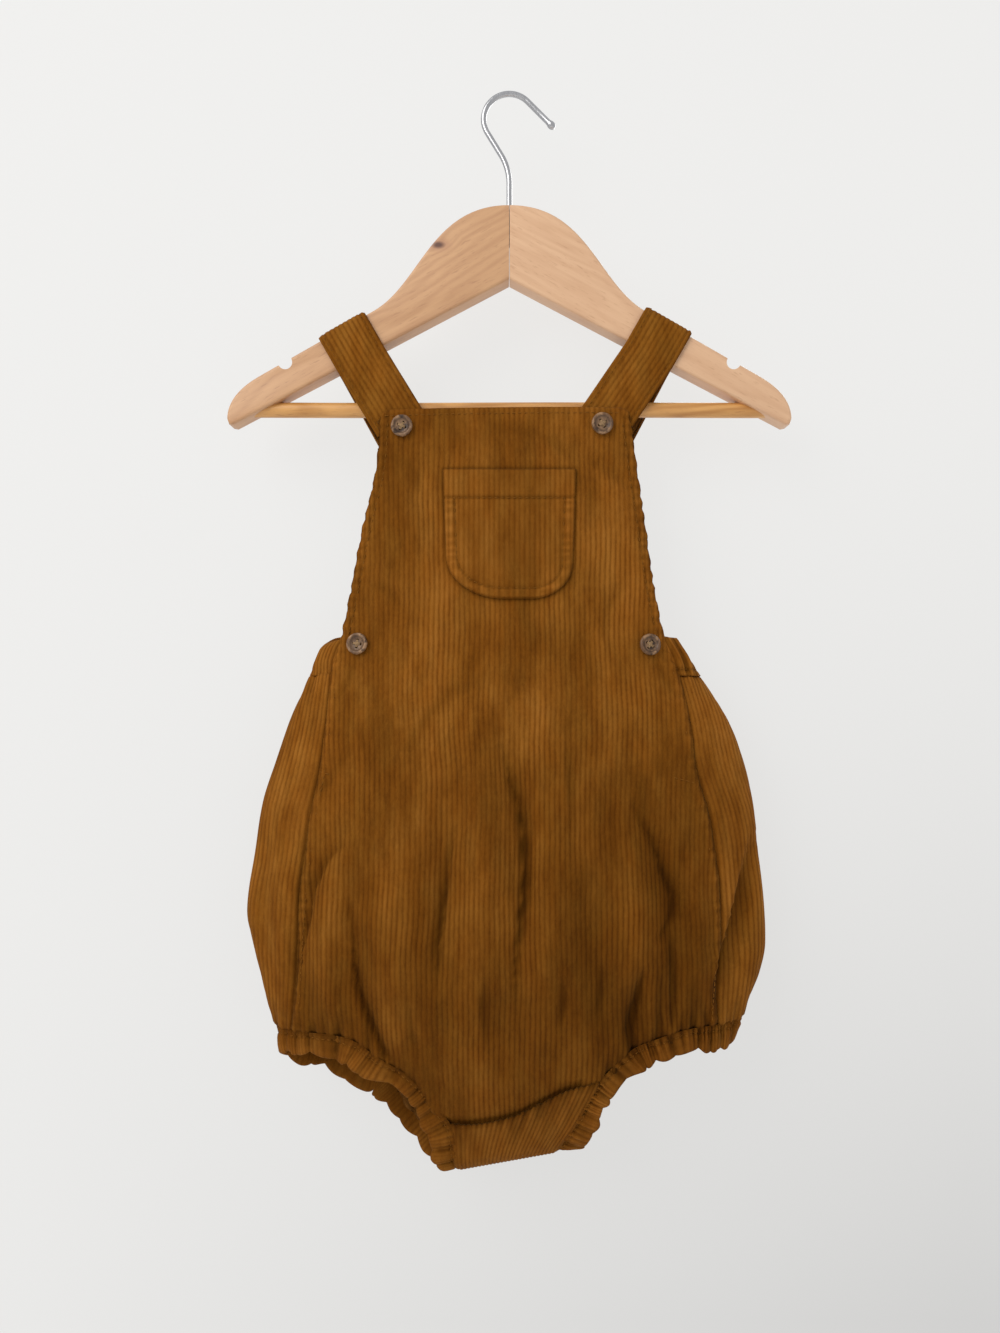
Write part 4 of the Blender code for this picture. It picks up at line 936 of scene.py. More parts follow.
# Crotch band: folds from the back hem under the crotch and up over the front
crotchBand = {"run": 75, "wales": 28, "sagFades": (1, 0.5, 0.1), "rows": 44, "scallop": 0.6}


def crotchGrid(share, rowCount):
    rows = []
    for k, (leftX, leftZ, rightX, rightZ, depth, onFront) in enumerate(crotchRows):
        x, z = leftX + (rightX - leftX) * share, leftZ + (rightZ - leftZ) * share
        y = np.full_like(x, depth)
        if onFront:
            z = z + bandSag(share) * crotchBand["sagFades"][k]
            y = frontSkin(x, z)[:, 1] - cloth["restGap"] - cloth["thick"]
        rows.append(np.stack([x, y, z], axis=-1))
    return smoothCurve(np.arange(len(rows)), rows)(np.linspace(0, len(rows) - 1, rowCount))


def makeCrotch():
    run, wales = crotchBand["run"], crotchBand["wales"]
    share = np.linspace(0, 1, wales * cloth["samples"] + 1)
    points = crotchGrid(share, crotchBand["rows"])
    normals = outward(points)
    down = np.linspace(0, 1, crotchBand["rows"])[:, None]
    ridge = ridges(share * wales)
    rim = bell(down, 0.03)
    points[..., 2] += crotchBand["scallop"] * (ridge - 0.5) * rim
    puckers = gathers(share * run, down * 60, gatherRow(0, run, 6, 12, 0.5))
    sides = bell(np.minimum(share, 1 - share) * run, 2.2)
    offset = cloth["relief"] * (ridge - 0.6) - 0.4 * rim - puckers - sides
    points = points + normals * offset[..., None]
    weave = paired(share * wales, down * 25)
    # Painted shade: darker in the puckers, along the top edge and at the sides
    paintedShading = np.clip(puckers + rim * 0.5 + sides * 0.4, -1, 1)
    piece = clothShell("crotchBand", points, weave, paintedShading, bandCloth, 1.3, ["crotch_band"])


makeCrotch()
print("crotch band is folded")

# Leg bands: elastic casings, gathered in puffs round each leg
legBand = {
    "width": 11.0,
    "thick": 3.0,
    "gap": -2.4,
    "gathers": 27,
    "gatherDepth": 1.8,
    "perGather": 24,
    "profile": 26,
    "endPuff": 2.4,  # the left leg's outer end is round and full
    "inward": 3.2,  # how far it covers the corner where hem and crotch meet
}


def coarseGrids():  # the same points as the solids' hems, so that the bands sit where they do
    x, z = frontGrid(np.linspace(0, 1, 27), 12, 17)
    front = frontSkin(x, z)
    shares = np.linspace(0, 1, 29)
    ring = skin(backAngles(shares, cloth["hemRing"], cloth["seamGap"]), cloth["hemRing"])
    hem = backHem(ring[:, 0]) - hemDroop(ring[:, 0]) * (ring[:, 1] > 0)
    rows = []
    for down in np.linspace(0, 1, 17):
        heights = cloth["backTop"] + (hem - cloth["backTop"]) * down
        angles = [backAngles(np.array([share]), z, cloth["seamGap"]) for share, z in zip(shares, heights)]
        rows.append([skin(angle, z)[0] for angle, z in zip(angles, heights)])
    return front, crotchGrid(np.linspace(0, 1, 11), 15), np.array(rows)


def legLoop(front, crotch, back, side, count):
    frontEdge, frontWay = front[-1][::-side], outward(front)[-1][::-side]
    column = 0 if side < 0 else -1
    crotchEdge, crotchWay = crotch[:, column], outward(crotch)[:, column]
    backEdge, backWay = back[-1][::-side], outward(back)[-1][::-side]
    onFront = frontEdge[:, 0] * side > abs(crotchEdge[0, 0]) + 1
    onBack = backEdge[:, 0] * side > abs(crotchEdge[-1, 0]) + 1
    edge = np.concatenate([frontEdge[onFront], crotchEdge[1:], backEdge[onBack]])
    way = np.concatenate([frontWay[onFront], crotchWay[1:], backWay[onBack]])
    edge = edge - way * cloth["thick"] / 2

    def even(edge, way, total):
        edge, way = np.vstack([edge, edge[:1]]), np.vstack([way, way[:1]])
        travelled = runAlong(edge)
        at = np.linspace(0, travelled[-1], total, endpoint=False)
        return readLine(at, travelled, edge), readLine(at, travelled, way)

    def soften(line, passes):
        for _ in range(passes):
            line = (np.roll(line, 1, axis=0) + 2 * line + np.roll(line, -1, axis=0)) / 4
        return line

    edge, way = even(edge, way, legBand["gathers"] * 4)
    edge, way = even(soften(edge, 3), soften(way, 3), count)
    return soften(edge, 24), unit(soften(way, 24))


def makeLegBand(name, node, side, grids, seed):
    local = np.random.default_rng(seed)
    puffs, full = legBand["gathers"], 2 * np.pi
    count = puffs * legBand["perGather"]
    edge, way = legLoop(*grids, side, count)
    along = np.roll(edge, -1, axis=0) - np.roll(edge, 1, axis=0)
    away = unit(np.cross(along, way)) * -side
    at = np.arange(count) / legBand["perGather"]
    at = at + 0.28 * np.sin(full * at * 3 / puffs) + 0.3 * np.sin(full * at * 7 / puffs)
    swell = np.abs(np.cos(np.pi * at)) ** 0.75  # a sharp valley between two puffs
    sizes = local.uniform(0.45, 1.4, puffs)
    size = np.interp(at % puffs, np.arange(puffs + 1), [*sizes, sizes[0]])
    wrinkle = 0.45 * np.sin(full * (at * 3 + 0.4 * np.sin(at * full * 5 / puffs)))
    wrinkle = wrinkle + 0.25 * np.sin(full * at * 5)
    wrinkle = wrinkle * (0.6 + 1.2 * np.clip((edge[:, 0] - 20) / 30, 0, 1))  # the right leg is more crumpled
    uneven = 1 + 0.1 * np.sin(full * at / 5.3 + seed) + 0.06 * np.sin(full * at / 2.1)
    turn = np.linspace(0, full, legBand["profile"])[:, None]
    out = np.sin(turn)
    place = 0.5 - 0.5 * np.cos(turn)
    outer = smoothStep(out * 3)
    half = legBand["thick"] / 2 * np.sign(out) * np.abs(out) ** 0.6 * (0.5 + 0.8 * place)
    stitch = (0.7 + 0.5 * size * (1 - swell)) * bell(place - 0.24, 0.07) * outer
    puff = legBand["gatherDepth"] * size * (swell - 1) * (0.45 + 0.55 * np.sin(np.pi * np.clip(place, 0, 1)))
    seamWrinkle = wrinkle * bell(place - 0.25, 0.3) * outer
    wales = round(np.linalg.norm(along, axis=1).sum() / 2 / 2.35)
    rib = 0.5 * cloth["relief"] * (ridges(at / puffs * wales) - 0.6)
    lift = half + outer * (puff - stitch + seamWrinkle + rib)
    atEnd = bell(edge[:, 0] + 128, 7)
    lift = lift + legBand["endPuff"] * atEnd * np.sin(np.pi * np.clip(place, 0, 1)) ** 0.6
    scrunched = 1 - 0.26 * bell(edge[:, 0] * side - 54, 16) * (edge[:, 1] < 0)
    underCrotch = smoothStep((-567 - edge[:, 2]) / 8)  # it is rounder where it turns under the crotch
    scrunched = scrunched - 0.22 * atEnd - 0.3 * underCrotch
    corner = np.exp(-((np.abs(edge[:, 0]) - 34) ** 2 + (edge[:, 2] + 553) ** 2) / 45) * (edge[:, 1] > 0)
    inside = legBand["gap"] - legBand["inward"] * corner * (1 - place)
    reach = inside + place * (legBand["width"] + 2.6) * scrunched * uneven
    reach = reach + place**3 * (1.6 * (swell - 0.6) * size)
    points = edge + away * reach[..., None] + way * lift[..., None]
    points = np.concatenate([points, points[:, :1]], axis=1)
    along = np.concatenate([at / puffs * wales, [wales]])
    weave = paired(along, place * legBand["width"] / cloth["wale"])
    # Painted shade and highlight: darker in the valleys between puffs, at the stitch line and along the inner
    # edge, lighter on the rolled outer edge
    paintedShading = -puff / 2.2 - wrinkle * outer * 0.25 + stitch * 0.5 - 0.12 + 0.75 * bell(place, 0.13)
    paintedShading = np.clip(paintedShading - 0.22 * bell(place - 0.8, 0.14), -1, 1) * outer
    paintedShading = np.concatenate([paintedShading, paintedShading[:, :1]], axis=1)
    piece = clothShell(name, points, weave, paintedShading, bandCloth, 0, [node], closed=True)
    seams.append((points[4], np.vstack([way, way[:1]])))


grids = coarseGrids()
makeLegBand("legBandLeft", "leg_band_left", -1, grids, 3)
makeLegBand("legBandRight", "leg_band_right", 1, grids, 8)
print("leg bands are gathered")

# Straps: along the wales, from behind the bib over the arms and down the back
strap = {
    "width": 28.0,
    "thick": 2.2,
    "straight": 20.0,
    "pastButton": 10.0,
    "tuckGap": 0.75,
    "tuckZ": -169.0,
    "clearZ": -152.0,
    "endZ": -304.0,
    "armSlope": -0.572,
    "armThick": 13.0,
    "armEdge": 1.5,
    "wales": 10.5,
    "stitchIn": 3.0,
    "stitchDent": 0.35,
    "edgeRoll": 0.8,
    "ruffle": 0.25,
}
strapRoutes = (  # name, node, side, x and z on the arm, x and z of the button, x of the back end
    ("strapRight", "strap_right", 1, 84, -124, 48.6, -178.8, -11),
    ("strapLeft", "strap_left", -1, -88.5, -126.5, -56.5, -179.9, 9),
)
strapDepths = ((-141, 6.85, 6.85), (-200, 8.7, 7.6), (-248, 10.9, 8.3), (-306, 10.9, 8.3))  # z, right, left


def makeStrap(name, node, side, armX, armZ, buttonX, buttonZ, endX):
    downArm = np.array((side, strap["armSlope"])) / math.hypot(1, strap["armSlope"])
    up = np.array((-side * downArm[1], side * downArm[0]))
    top, button = np.array((armX, armZ)), np.array((buttonX, buttonZ))
    backEnd = np.array((endX, strap["endZ"]))
    low = top - strap["straight"] * up
    frontWay, backWay = unit(button - low), unit(backEnd - low)
    frontEnd = button + frontWay * strap["pastButton"]
    frontAcross = np.array((-frontWay[1], frontWay[0])) * side
    backAcross = np.array((-backWay[1], backWay[0])) * side
    columns = round(strap["wales"] * cloth["samples"]) + 1
    halfWidths = np.linspace(strap["width"] / 2, -strap["width"] / 2, columns)[:, None] * side
    onArm = strap["armThick"] / 2 + cloth["restGap"] + strap["thick"]
    bend = strap["armEdge"] + cloth["restGap"] + strap["thick"]
    backDepth = tableCurve(strapDepths, 0, 1 if side > 0 else 2)
    rows = []

    def addRow(place, across, depth):
        x, z = (place + halfWidths * unit(across)).T
        rows.append(np.stack([x, depth(x, z), z], axis=-1))

    def inFront(x, z):
        behind = frontSkin(np.clip(x, -edgeLeft(z), edgeRight(z)), z)[:, 1]
        tucked = behind + cloth["thick"] + strap["tuckGap"]
        share = smoothStep((z - strap["tuckZ"]) / (strap["clearZ"] - strap["tuckZ"]))
        return tucked + (-onArm - tucked) * share

    for share in np.linspace(0, 1, 30):
        addRow(frontEnd + (low - frontEnd) * share, frontAcross + (downArm - frontAcross) * share, inFront)
    for share in np.linspace(0, 1, 6)[1:-1]:
        addRow(low + (top - strap["armEdge"] * up - low) * share, downArm, inFront)
    quarter = np.radians(np.linspace(0, 90, 8))
    for facing, angle in [(-1, angle) for angle in quarter] + [(1, angle) for angle in quarter[::-1]]:
        y = facing * (onArm - bend + bend * math.cos(angle))
        place = top + (bend * math.sin(angle) - strap["armEdge"]) * up
        addRow(place, downArm, lambda x, z, y=y: np.full_like(x, y))
    for share in np.linspace(0, 1, 60):
        across = downArm + (backAcross - downArm) * smoothStep(share * 3)
        addRow(low + (backEnd - low) * share, across, lambda x, z: backDepth(z) + strap["thick"])
    points = np.array(rows)
    normals = outward(points)
    flat = np.linspace(0, strap["width"], columns)
    toEdge = np.minimum(flat, strap["width"] - flat)
    run = runAlong(points[:, columns // 2])
    stitch = strap["stitchDent"] * bell(toEdge - strap["stitchIn"], 0.7)
    edgeRoll = strap["edgeRoll"] * bell(toEdge, 0.9)
    waves = strap["ruffle"] * np.sin(run * 0.9 + 1.3 * np.sin(run * 0.23))[:, None]
    ruffle = waves * np.exp(-((toEdge - 1.5) ** 2) / 3)
    wales = flat / strap["width"] * strap["wales"]
    relief = 0.8 * cloth["relief"] * (ridges(wales) - 0.7)
    offset = relief - stitch - edgeRoll + ruffle
    points = points + normals * offset[..., None]
    weave = paired(wales, run[:, None] / cloth["wale"])
    # Painted shade: darker along the stitch rows and the rolled edges
    paintedShading = np.clip(stitch * 0.7 + edgeRoll * 0.3 + 0 * run[:, None], -1, 1)
    piece = clothShell(name, points, weave, paintedShading, strapCloth, 1.5, [node])
    seams.extend((points[:, k], normals[:, k]) for k in (4, -5))


for route in strapRoutes:
    makeStrap(*route)
print("straps are on")

# Chest pocket: a patch with a deep top hem, round lower corners and its edges turned under
def makePocket():
    tall = pocket["topZ"] - pocket["lowZ"]
    corner = max(pocket["cornersTall"])
    ease = (1 - np.cos(np.linspace(0, np.pi / 2, pocket["rows"] // 3)))[::-1]
    above = np.concatenate([np.linspace(tall, corner, pocket["rows"])[:-1], corner * ease])[:, None]
    z = pocket["lowZ"] + above
    insets = []
    for wide, high in zip(pocket["cornersWide"], pocket["cornersTall"]):
        short = np.clip(high - above, 0, None) / high
        insets.append(wide * (1 - np.sqrt(np.maximum(1 - short**2, 0))))
    left, right = insets[0] - pocketSide(z), pocketSide(z) - insets[1]
    step = cloth["wale"] / cloth["samples"]
    lines = np.arange(math.floor(-pocket["topHalf"] / step), math.ceil(pocket["topHalf"] / step) + 1) * step
    x = np.clip(lines, left, right)
    z = z + 0 * x
    normals = frontNormal(x, z)
    fromTop = pocket["topZ"] - z
    toEdge = np.maximum(-pocketEdge(x, np.minimum(z, pocket["topZ"] - 30)), 0)
    toEdge = np.where(z > pocket["topZ"] - 30, pocketSide(z) - np.abs(x), toEdge)
    around = np.where(np.abs(x) > 16, z, x)  # the way along the edge
    belowHem = smoothStep((pocket["hemZ"] - z) / 2)
    dent = pocket["stitchDent"] * bell(toEdge - pocket["stitchIn"], 0.7) * belowHem
    atHem = bell(z - pocket["hemZ"] + 0.6, 0.8)
    hem = pocket["hemStep"] * smoothStep((z - pocket["hemZ"]) / 1.2) - pocket["stitchDent"] * atHem
    turned = 0.5 * smoothStep((pocket["stitchIn"] + 0.3 - toEdge) / 1.2) * belowHem
    puckers = pocket["pucker"] * np.sin(around * 2 * np.pi / 4.9 + 2.2 * np.sin(around * 0.23)) * belowHem
    puckers = puckers * bell(toEdge - 3.4, 2.6)
    edgeRoll = 1.3 * (1 - smoothStep(toEdge / 1.2)) + 1.1 * (1 - smoothStep(fromTop / 1.2))
    relief = 0.5 * cloth["relief"] * (ridges(x / cloth["wale"]) - 0.6)
    lift = cloth["restGap"] + pocket["thick"] + relief + hem + turned - dent + puckers - edgeRoll
    lift = lift - pocket["sag"] * bell(x - 4, 16) * bell(fromTop, 14)
    points = frontSkin(x, z) + normals * lift[..., None]
    weave = np.stack([x / cloth["wale"], z / cloth["wale"]], axis=-1)
    # Painted shade and highlight: darker at the stitch dent, the rolled edges and the hem line, lighter on
    # the border inside the stitching and on the puckers' crests
    paintedShading = dent * 0.7 + edgeRoll * 0.4 - 0.18 * belowHem * (toEdge < 5) - puckers * 0.7 - 0.05
    paintedShading = paintedShading + 0.3 * atHem - 0.06 * (z > pocket["hemZ"])
    paintedShading = np.clip(paintedShading, -1, 1)
    piece = clothShell("chestPocket", points, weave, paintedShading, pocketCloth, 1.1, ["chest_pocket"])


makePocket()
print("pocket is on")

# Plackets: the underlaps behind the front panel's edges
placket = {"top": -297.0, "low": -370.0, "width": 14.0, "inset": 2.0, "thick": 1.5, "rows": 30}


def makePlackets():
    z = np.linspace(placket["top"], placket["low"], placket["rows"])[:, None]
    inward = np.linspace(placket["width"], 0, 22) + placket["inset"]
    left, right = inward[::-1] - edgeLeft(z), edgeRight(z) - inward
    for name, node, x in (("placketLeft", "placket_left", left), ("placketRight", "placket_right", right)):
        points = frontSkin(x, z)
        points = points - (cloth["thick"] + cloth["restGap"]) * outward(points)
        weave = np.stack([x / cloth["wale"], (z + 0 * x) / cloth["wale"]], axis=-1)
        piece = clothShell(name, points, weave, np.zeros((1, 1)), corduroy, placket["thick"] - 0.2, [node])


makePlackets()

# Topstitching: short stitches, tone on tone, along the seams, hems and edges
stitching = {
    "long": 2.4,
    "gap": 0.8,
    "thick": 0.44,
    "bow": 0.22,
    "sides": 6,
    "shape": ((-1.2, 0.5), (0.2, 0.9), (1, 1), (0.2, 0.9), (-1.2, 0.5)),  # bow and girth along a stitch
}


def onFront(x, z, lift):
    x, z = np.broadcast_arrays(np.asarray(x, float), np.asarray(z, float))
    way = frontNormal(x, z)
    return frontSkin(x, z) + way * lift, way


def sideLine(side, inset, topZ, lowZ):  # a line a little inside one of the front panel's edges
    z = np.linspace(topZ, lowZ, 90)
    edge = edgeLeft(z) if side < 0 else edgeRight(z)
    slope = frontSkin(side * edge, z)[:, 1] - frontSkin(side * (edge - inset), z)[:, 1]
    return onFront(side * (edge - inset / np.hypot(1, slope / inset)), z, -0.05)


def pocketLine():
    spots = []
    for side, wide, tall in zip((-1, 1), pocket["cornersWide"], pocket["cornersTall"]):
        z = np.linspace(pocket["topZ"] - 1.5, pocket["lowZ"] + tall, 40)[:-1]
        x = pocketSide(z) - pocket["stitchIn"]
        turn = np.linspace(0, np.pi / 2, 24)
        reach = 1 - pocket["stitchIn"] / (wide * np.cos(turn) ** 2 + tall * np.sin(turn) ** 2)
        cornerZ = pocket["lowZ"] + tall - tall * reach * np.sin(turn)
        cornerX = pocketSide(cornerZ) - wide + wide * reach * np.cos(turn)
        half = np.stack([side * np.concatenate([x, cornerX]), np.concatenate([z, cornerZ])], axis=-1)
        spots.append(half if side < 0 else half[::-1])
    x, z = np.concatenate(spots).T
    return onFront(x, z, 1.35)


def sewLine(bm, spots, ways):
    travelled = runAlong(spots)
    pitch = stitching["long"] + stitching["gap"]
    turns = np.linspace(0, 2 * np.pi, stitching["sides"], endpoint=False)[:, None]
    for start in np.arange(0, travelled[-1] - pitch, pitch):
        at = start + stitching["long"] * np.array((0, 0.15, 0.5, 0.85, 1)) * luck.uniform(0.9, 1.05)
        line, way = readLine(at, travelled, spots), unit(readLine(at, travelled, ways))
        beside = unit(np.cross(line[-1] - line[0], way))
        loops = []
        for spot, out, aside, (bow, girth) in zip(line, way, beside, stitching["shape"]):
            ring = (np.cos(turns) * aside + np.sin(turns) * out) * stitching["thick"] / 2 * girth
            loops.append([bm.verts.new(corner * mm) for corner in ring + spot + out * bow * stitching["bow"]])
        for first, second in zip(loops, loops[1:]):
            for k in range(len(first)):
                bm.faces.new((first[k - 1], first[k], second[k], second[k - 1]))
        for cap in (loops[0][::-1], loops[-1]):
            bm.faces.new(cap)


def makeStitches():
    hemX = np.linspace(-pocket["topHalf"] + 1.5, pocket["topHalf"] - 1.5, 40)
    topX = np.linspace(-66, 61, 80)
    rise = frontPanel["bibTopRight"] - frontPanel["bibTopLeft"]
    topZ = frontPanel["bibTopLeft"] + rise * (topX + 68) / 131
    lines = [pocketLine(), onFront(hemX, pocket["hemZ"] - 0.6, 1.3), onFront(topX, topZ - 3.2, 0.05)]
    for side in (-1, 1):
        lines.append(sideLine(side, frontPanel["stitchIn"], -178, -296))
        lines.append(sideLine(side, 3.6, -300, -492))
    lines.append(onFront(np.linspace(84.7, 97, 12), np.linspace(-363.6, -367, 12), 0.1))
    lines.append(onFront(np.linspace(-98.5, -92, 12), np.linspace(-361, -362.5, 12), 0.1))
    bm = bmesh.new()
    for spots, ways in [*seams, *lines]:
        sewLine(bm, spots, ways)
    bmesh.ops.recalc_face_normals(bm, faces=bm.faces)
    mesh = meshFrom(bm, "topstitching")
    mesh.materials.append(thread)
    finishPiece(bpy.data.objects.new("topstitching", mesh), ())


makeStitches()
print("seams are stitched")

# Buttons: turned imitation horn with four holes, sewn on with crossed thread
button = {"holeRadius": 0.8, "holeOffset": 1.3, "backRadius": 5.6, "threadRadius": 0.42}
buttonSection = (  # radius and height, from the dished face over the rim to the back
    (0, 1.5), (2.3, 1.48), (3.3, 1.62), (3.9, 2.12), (4.4, 2.52), (4.8, 2.62), (5.15, 2.56),
    (5.5, 2.3), (5.72, 1.9), (5.75, 1.3), (5.6, 0.7), (5.2, 0.2), (4.6, 0), (0, 0),
)
buttonPlaces = (
    ("buttonBibLeft", "button_bib_left", -56.5, -179.9, 20),
    ("buttonBibRight", "button_bib_right", 48.6, -178.8, 75),
    ("buttonWaistLeft", "button_waist_left", -79.9, -294.6, 40),
    ("buttonWaistRight", "button_waist_right", 73.6, -295.1, 10),
)


def meshOf(thing):  # a thing's mesh with its modifiers applied
    bpy.context.view_layer.update()
    return bpy.data.meshes.new_from_object(thing.evaluated_get(bpy.context.evaluated_depsgraph_get()))


def cutAway(thing, cutter):  # the thing's mesh with the cutter's shape taken out of it
    for each in (thing, cutter):
        bpy.context.scene.collection.objects.link(each)
    cut = thing.modifiers.new("cut", "BOOLEAN")
    cut.operation, cut.solver, cut.object = "DIFFERENCE", "EXACT", cutter
    mesh = meshOf(thing)
    thing.modifiers.clear()
    bpy.data.objects.remove(cutter)
    bpy.context.scene.collection.objects.unlink(thing)
    return mesh


lying = Matrix.Rotation(math.pi / 2, 4, "Y")


def addRod(bm, radius, length, matrix, segments):
    ends = {"radius1": radius, "radius2": radius, "cap_ends": True}
    bmesh.ops.create_cone(bm, **ends, segments=segments, depth=length, matrix=matrix)


def makeButton(name, node, x, z, turned):
    steps = np.array((-1, 0, 1)) * button["backRadius"]
    spots = frontSkin(x + steps, z - steps[:, None])
    way = outward(spots)[1, 1]
    lift = ((spots - spots[1, 1]) @ way).max()
    seat = Vector(spots[1, 1] + (cloth["restGap"] + lift) * way)
    stand = Matrix.Translation(seat) @ Vector(way).to_track_quat("Z", "Y").to_matrix().to_4x4()
    stand = Matrix.Scale(mm, 4) @ stand @ Matrix.Rotation(math.radians(turned), 4, "Z")
    bm = bmesh.new()
    verts = [bm.verts.new((radius, 0, height)) for radius, height in buttonSection]
    edges = [bm.edges.new(pair) for pair in zip(verts, verts[1:])]
    around = {"cent": (0, 0, 0), "axis": (0, 0, 1), "angle": 2 * math.pi}
    bmesh.ops.spin(bm, geom=verts + edges, **around, steps=56, use_merge=True)
    bmesh.ops.remove_doubles(bm, verts=bm.verts, dist=0.001)
    bmesh.ops.recalc_face_normals(bm, faces=bm.faces)
    disc = meshFrom(bm, name)
    holes, sewing = bmesh.new(), bmesh.new()
    for quarter in range(4):
        spin = Matrix.Rotation(quarter * math.pi / 2 + math.pi / 4, 4, "Z")
        spot = spin @ Vector((button["holeOffset"] * 1.41, 0, 1))
        addRod(holes, button["holeRadius"], 8, Matrix.Translation(spot), 20)
    for diagonal in range(2):
        for strand in (-0.3, 0.3):
            spin = Matrix.Rotation(diagonal * math.pi / 2 + math.pi / 4, 4, "Z")
            bar = Matrix.Translation((0, strand, 1.45 + 0.3 * diagonal)) @ lying
            addRod(sewing, button["threadRadius"], 4.0, spin @ bar, 10)
    drill = bpy.data.objects.new("drill", meshFrom(holes, "drill"))
    piece = bpy.data.objects.new(name, disc)
    made = cutAway(piece, drill)
    girths = np.array([math.hypot(*vert.co.xy) for vert in made.vertices])
    facing = np.array([vert.co.z > 1.3 for vert in made.vertices])
    dishShade = made.attributes.new("dishShade", "FLOAT", "POINT")  # painted shade: dark where the rim rises and round the holes
    shadow = bell(girths - 3.7, 0.55) + bell(girths - 1.5, 1.0) * 0.7
    dishShade.data.foreach_set("value", (shadow * facing).astype(np.float32))
    made.transform(stand)
    piece.data = made
    made.materials.append(horn)
    finishPiece(piece, [node])
    made.set_sharp_from_angle(angle=math.radians(50))
    threads = meshFrom(sewing, name + "Thread")
    threads.transform(stand)
    threads.materials.append(buttonThread)
    finishPiece(bpy.data.objects.new(name + "Thread", threads), ())


for place in buttonPlaces:
    makeButton(*place)
print("buttons are sewn on")

# Hanger: two wooden arms glued at the middle, a trouser bar and a wire hook
hanger = {
    "topZ": -60.8,
    "thick": 13.0,
    "edge": 1.5,
    "slope": -0.572,
    "lowerZ": -39.5,
    "lowerSlope": -0.527,
    "halfGap": 0.15,
    "notchX": 119.5,
    "notchRadius": 3.75,
    "notchDepth": 4.5,
    "barZ": -168.6,
    "barRadius": 4.0,
    "barHalf": 140.7,
}
hook = {
    "wire": 1.5,
    "radius": 13.8,
    "tipAngle": math.radians(45),
    "neckAngle": math.radians(211.7),
    "tipRun": 20.5,
    "fillet": 8.6,
    "sunk": 20.0,
    "tipShares": (1, 0.985, 0.95, 0.91, 0.87, 0.835, 0.8, 0.77, 0.4),  # where the ball's girths lie
    "tipGirths": (0.45, 0.8, 1.15, 1.32, 1.35, 1.28, 1.1, 1.0),
}


def bezierLine(a, b, c, d, count):
    t = np.linspace(0, 1, count)[:, None]
    a, b, c, d = (np.array(point, float) for point in (a, b, c, d))
    return (1 - t) ** 3 * a + 3 * t * (1 - t) ** 2 * b + 3 * t * t * (1 - t) * c + t**3 * d


def shoulderLine(count):
    return bezierLine((hanger["halfGap"], 0), (42, 0), (47.2, -42), (72.2, -56.3), count)


def armOutline():
    slope, low = hanger["slope"], hanger["lowerZ"]
    shoulder = shoulderLine(34)
    tipStart = np.array((133, shoulder[-1, 1] + slope * (133 - shoulder[-1, 0])))
    tip = bezierLine(tipStart, (143, -96.8), (150, -104), (150.2, -113.6), 18)
    corner = [(149.2, -116.6), (147, low + hanger["lowerSlope"] * 147)]
    foot = [(hanger["halfGap"], low + hanger["lowerSlope"] * hanger["halfGap"])]
    return np.concatenate([shoulder, tip, corner, foot])


def slab(outline, thick):  # an outline in x and z, made thick to the front and the back
    bm = bmesh.new()
    face = bm.faces.new([bm.verts.new((x * mm, -thick / 2 * mm, z * mm)) for x, z in outline])
    grown = bmesh.ops.extrude_face_region(bm, geom=[face])["geom"]
    moved = [item for item in grown if isinstance(item, bmesh.types.BMVert)]
    bmesh.ops.translate(bm, vec=(0, thick * mm, 0), verts=moved)
    return bm


def notchCutter(side):  # a drop-shaped peg that cuts the notch for a loop into the shoulder
    slope, radius = hanger["slope"], hanger["notchRadius"]
    start = shoulderLine(2)[-1]
    middle = np.array((hanger["notchX"], start[1] + slope * (hanger["notchX"] - start[0])))
    along = np.array((1, slope)) / math.hypot(1, slope)
    inward = np.array((along[1], -along[0]))
    turns = np.linspace(np.pi, 2 * np.pi, 16)[:, None]
    bowl = middle + along * radius * np.cos(turns)
    bowl = bowl + inward * (hanger["notchDepth"] - radius - radius * np.sin(turns))
    lips = [middle + along * (radius + 3) - inward * 5, middle - along * (radius + 3) - inward * 5]
    outline = np.concatenate([bowl, lips])
    bm = slab(outline * (side, 1) + (0, hanger["topZ"]), 2 * hanger["thick"])
    bmesh.ops.recalc_face_normals(bm, faces=bm.faces)
    return bpy.data.objects.new("notch", meshFrom(bm, "notch"))


def makeArm(name, node, side, finish):
    bm = slab(armOutline() * (side, 1) + (0, hanger["topZ"]), hanger["thick"])
    joint = 2 * hanger["halfGap"] * mm
    rounded = []
    for edge in bm.edges:
        first, second = (vert.co for vert in edge.verts)
        if abs(first.y - second.y) < mm / 10 and max(abs(first.x), abs(second.x)) > joint:
            rounded.append(edge)
    curve = {"segments": 5, "profile": 0.5, "affect": "EDGES", "material": -1}
    bmesh.ops.bevel(bm, geom=rounded, offset=hanger["edge"] * mm, **curve)
    bmesh.ops.recalc_face_normals(bm, faces=bm.faces)
    mesh = meshFrom(bm, name)
    mesh.materials.append(finish)
    arm = bpy.data.objects.new(name, mesh)
    arm.data = cutAway(arm, notchCutter(side))
    finishPiece(arm, [node])
    arm.data.set_sharp_from_angle(angle=math.radians(30))


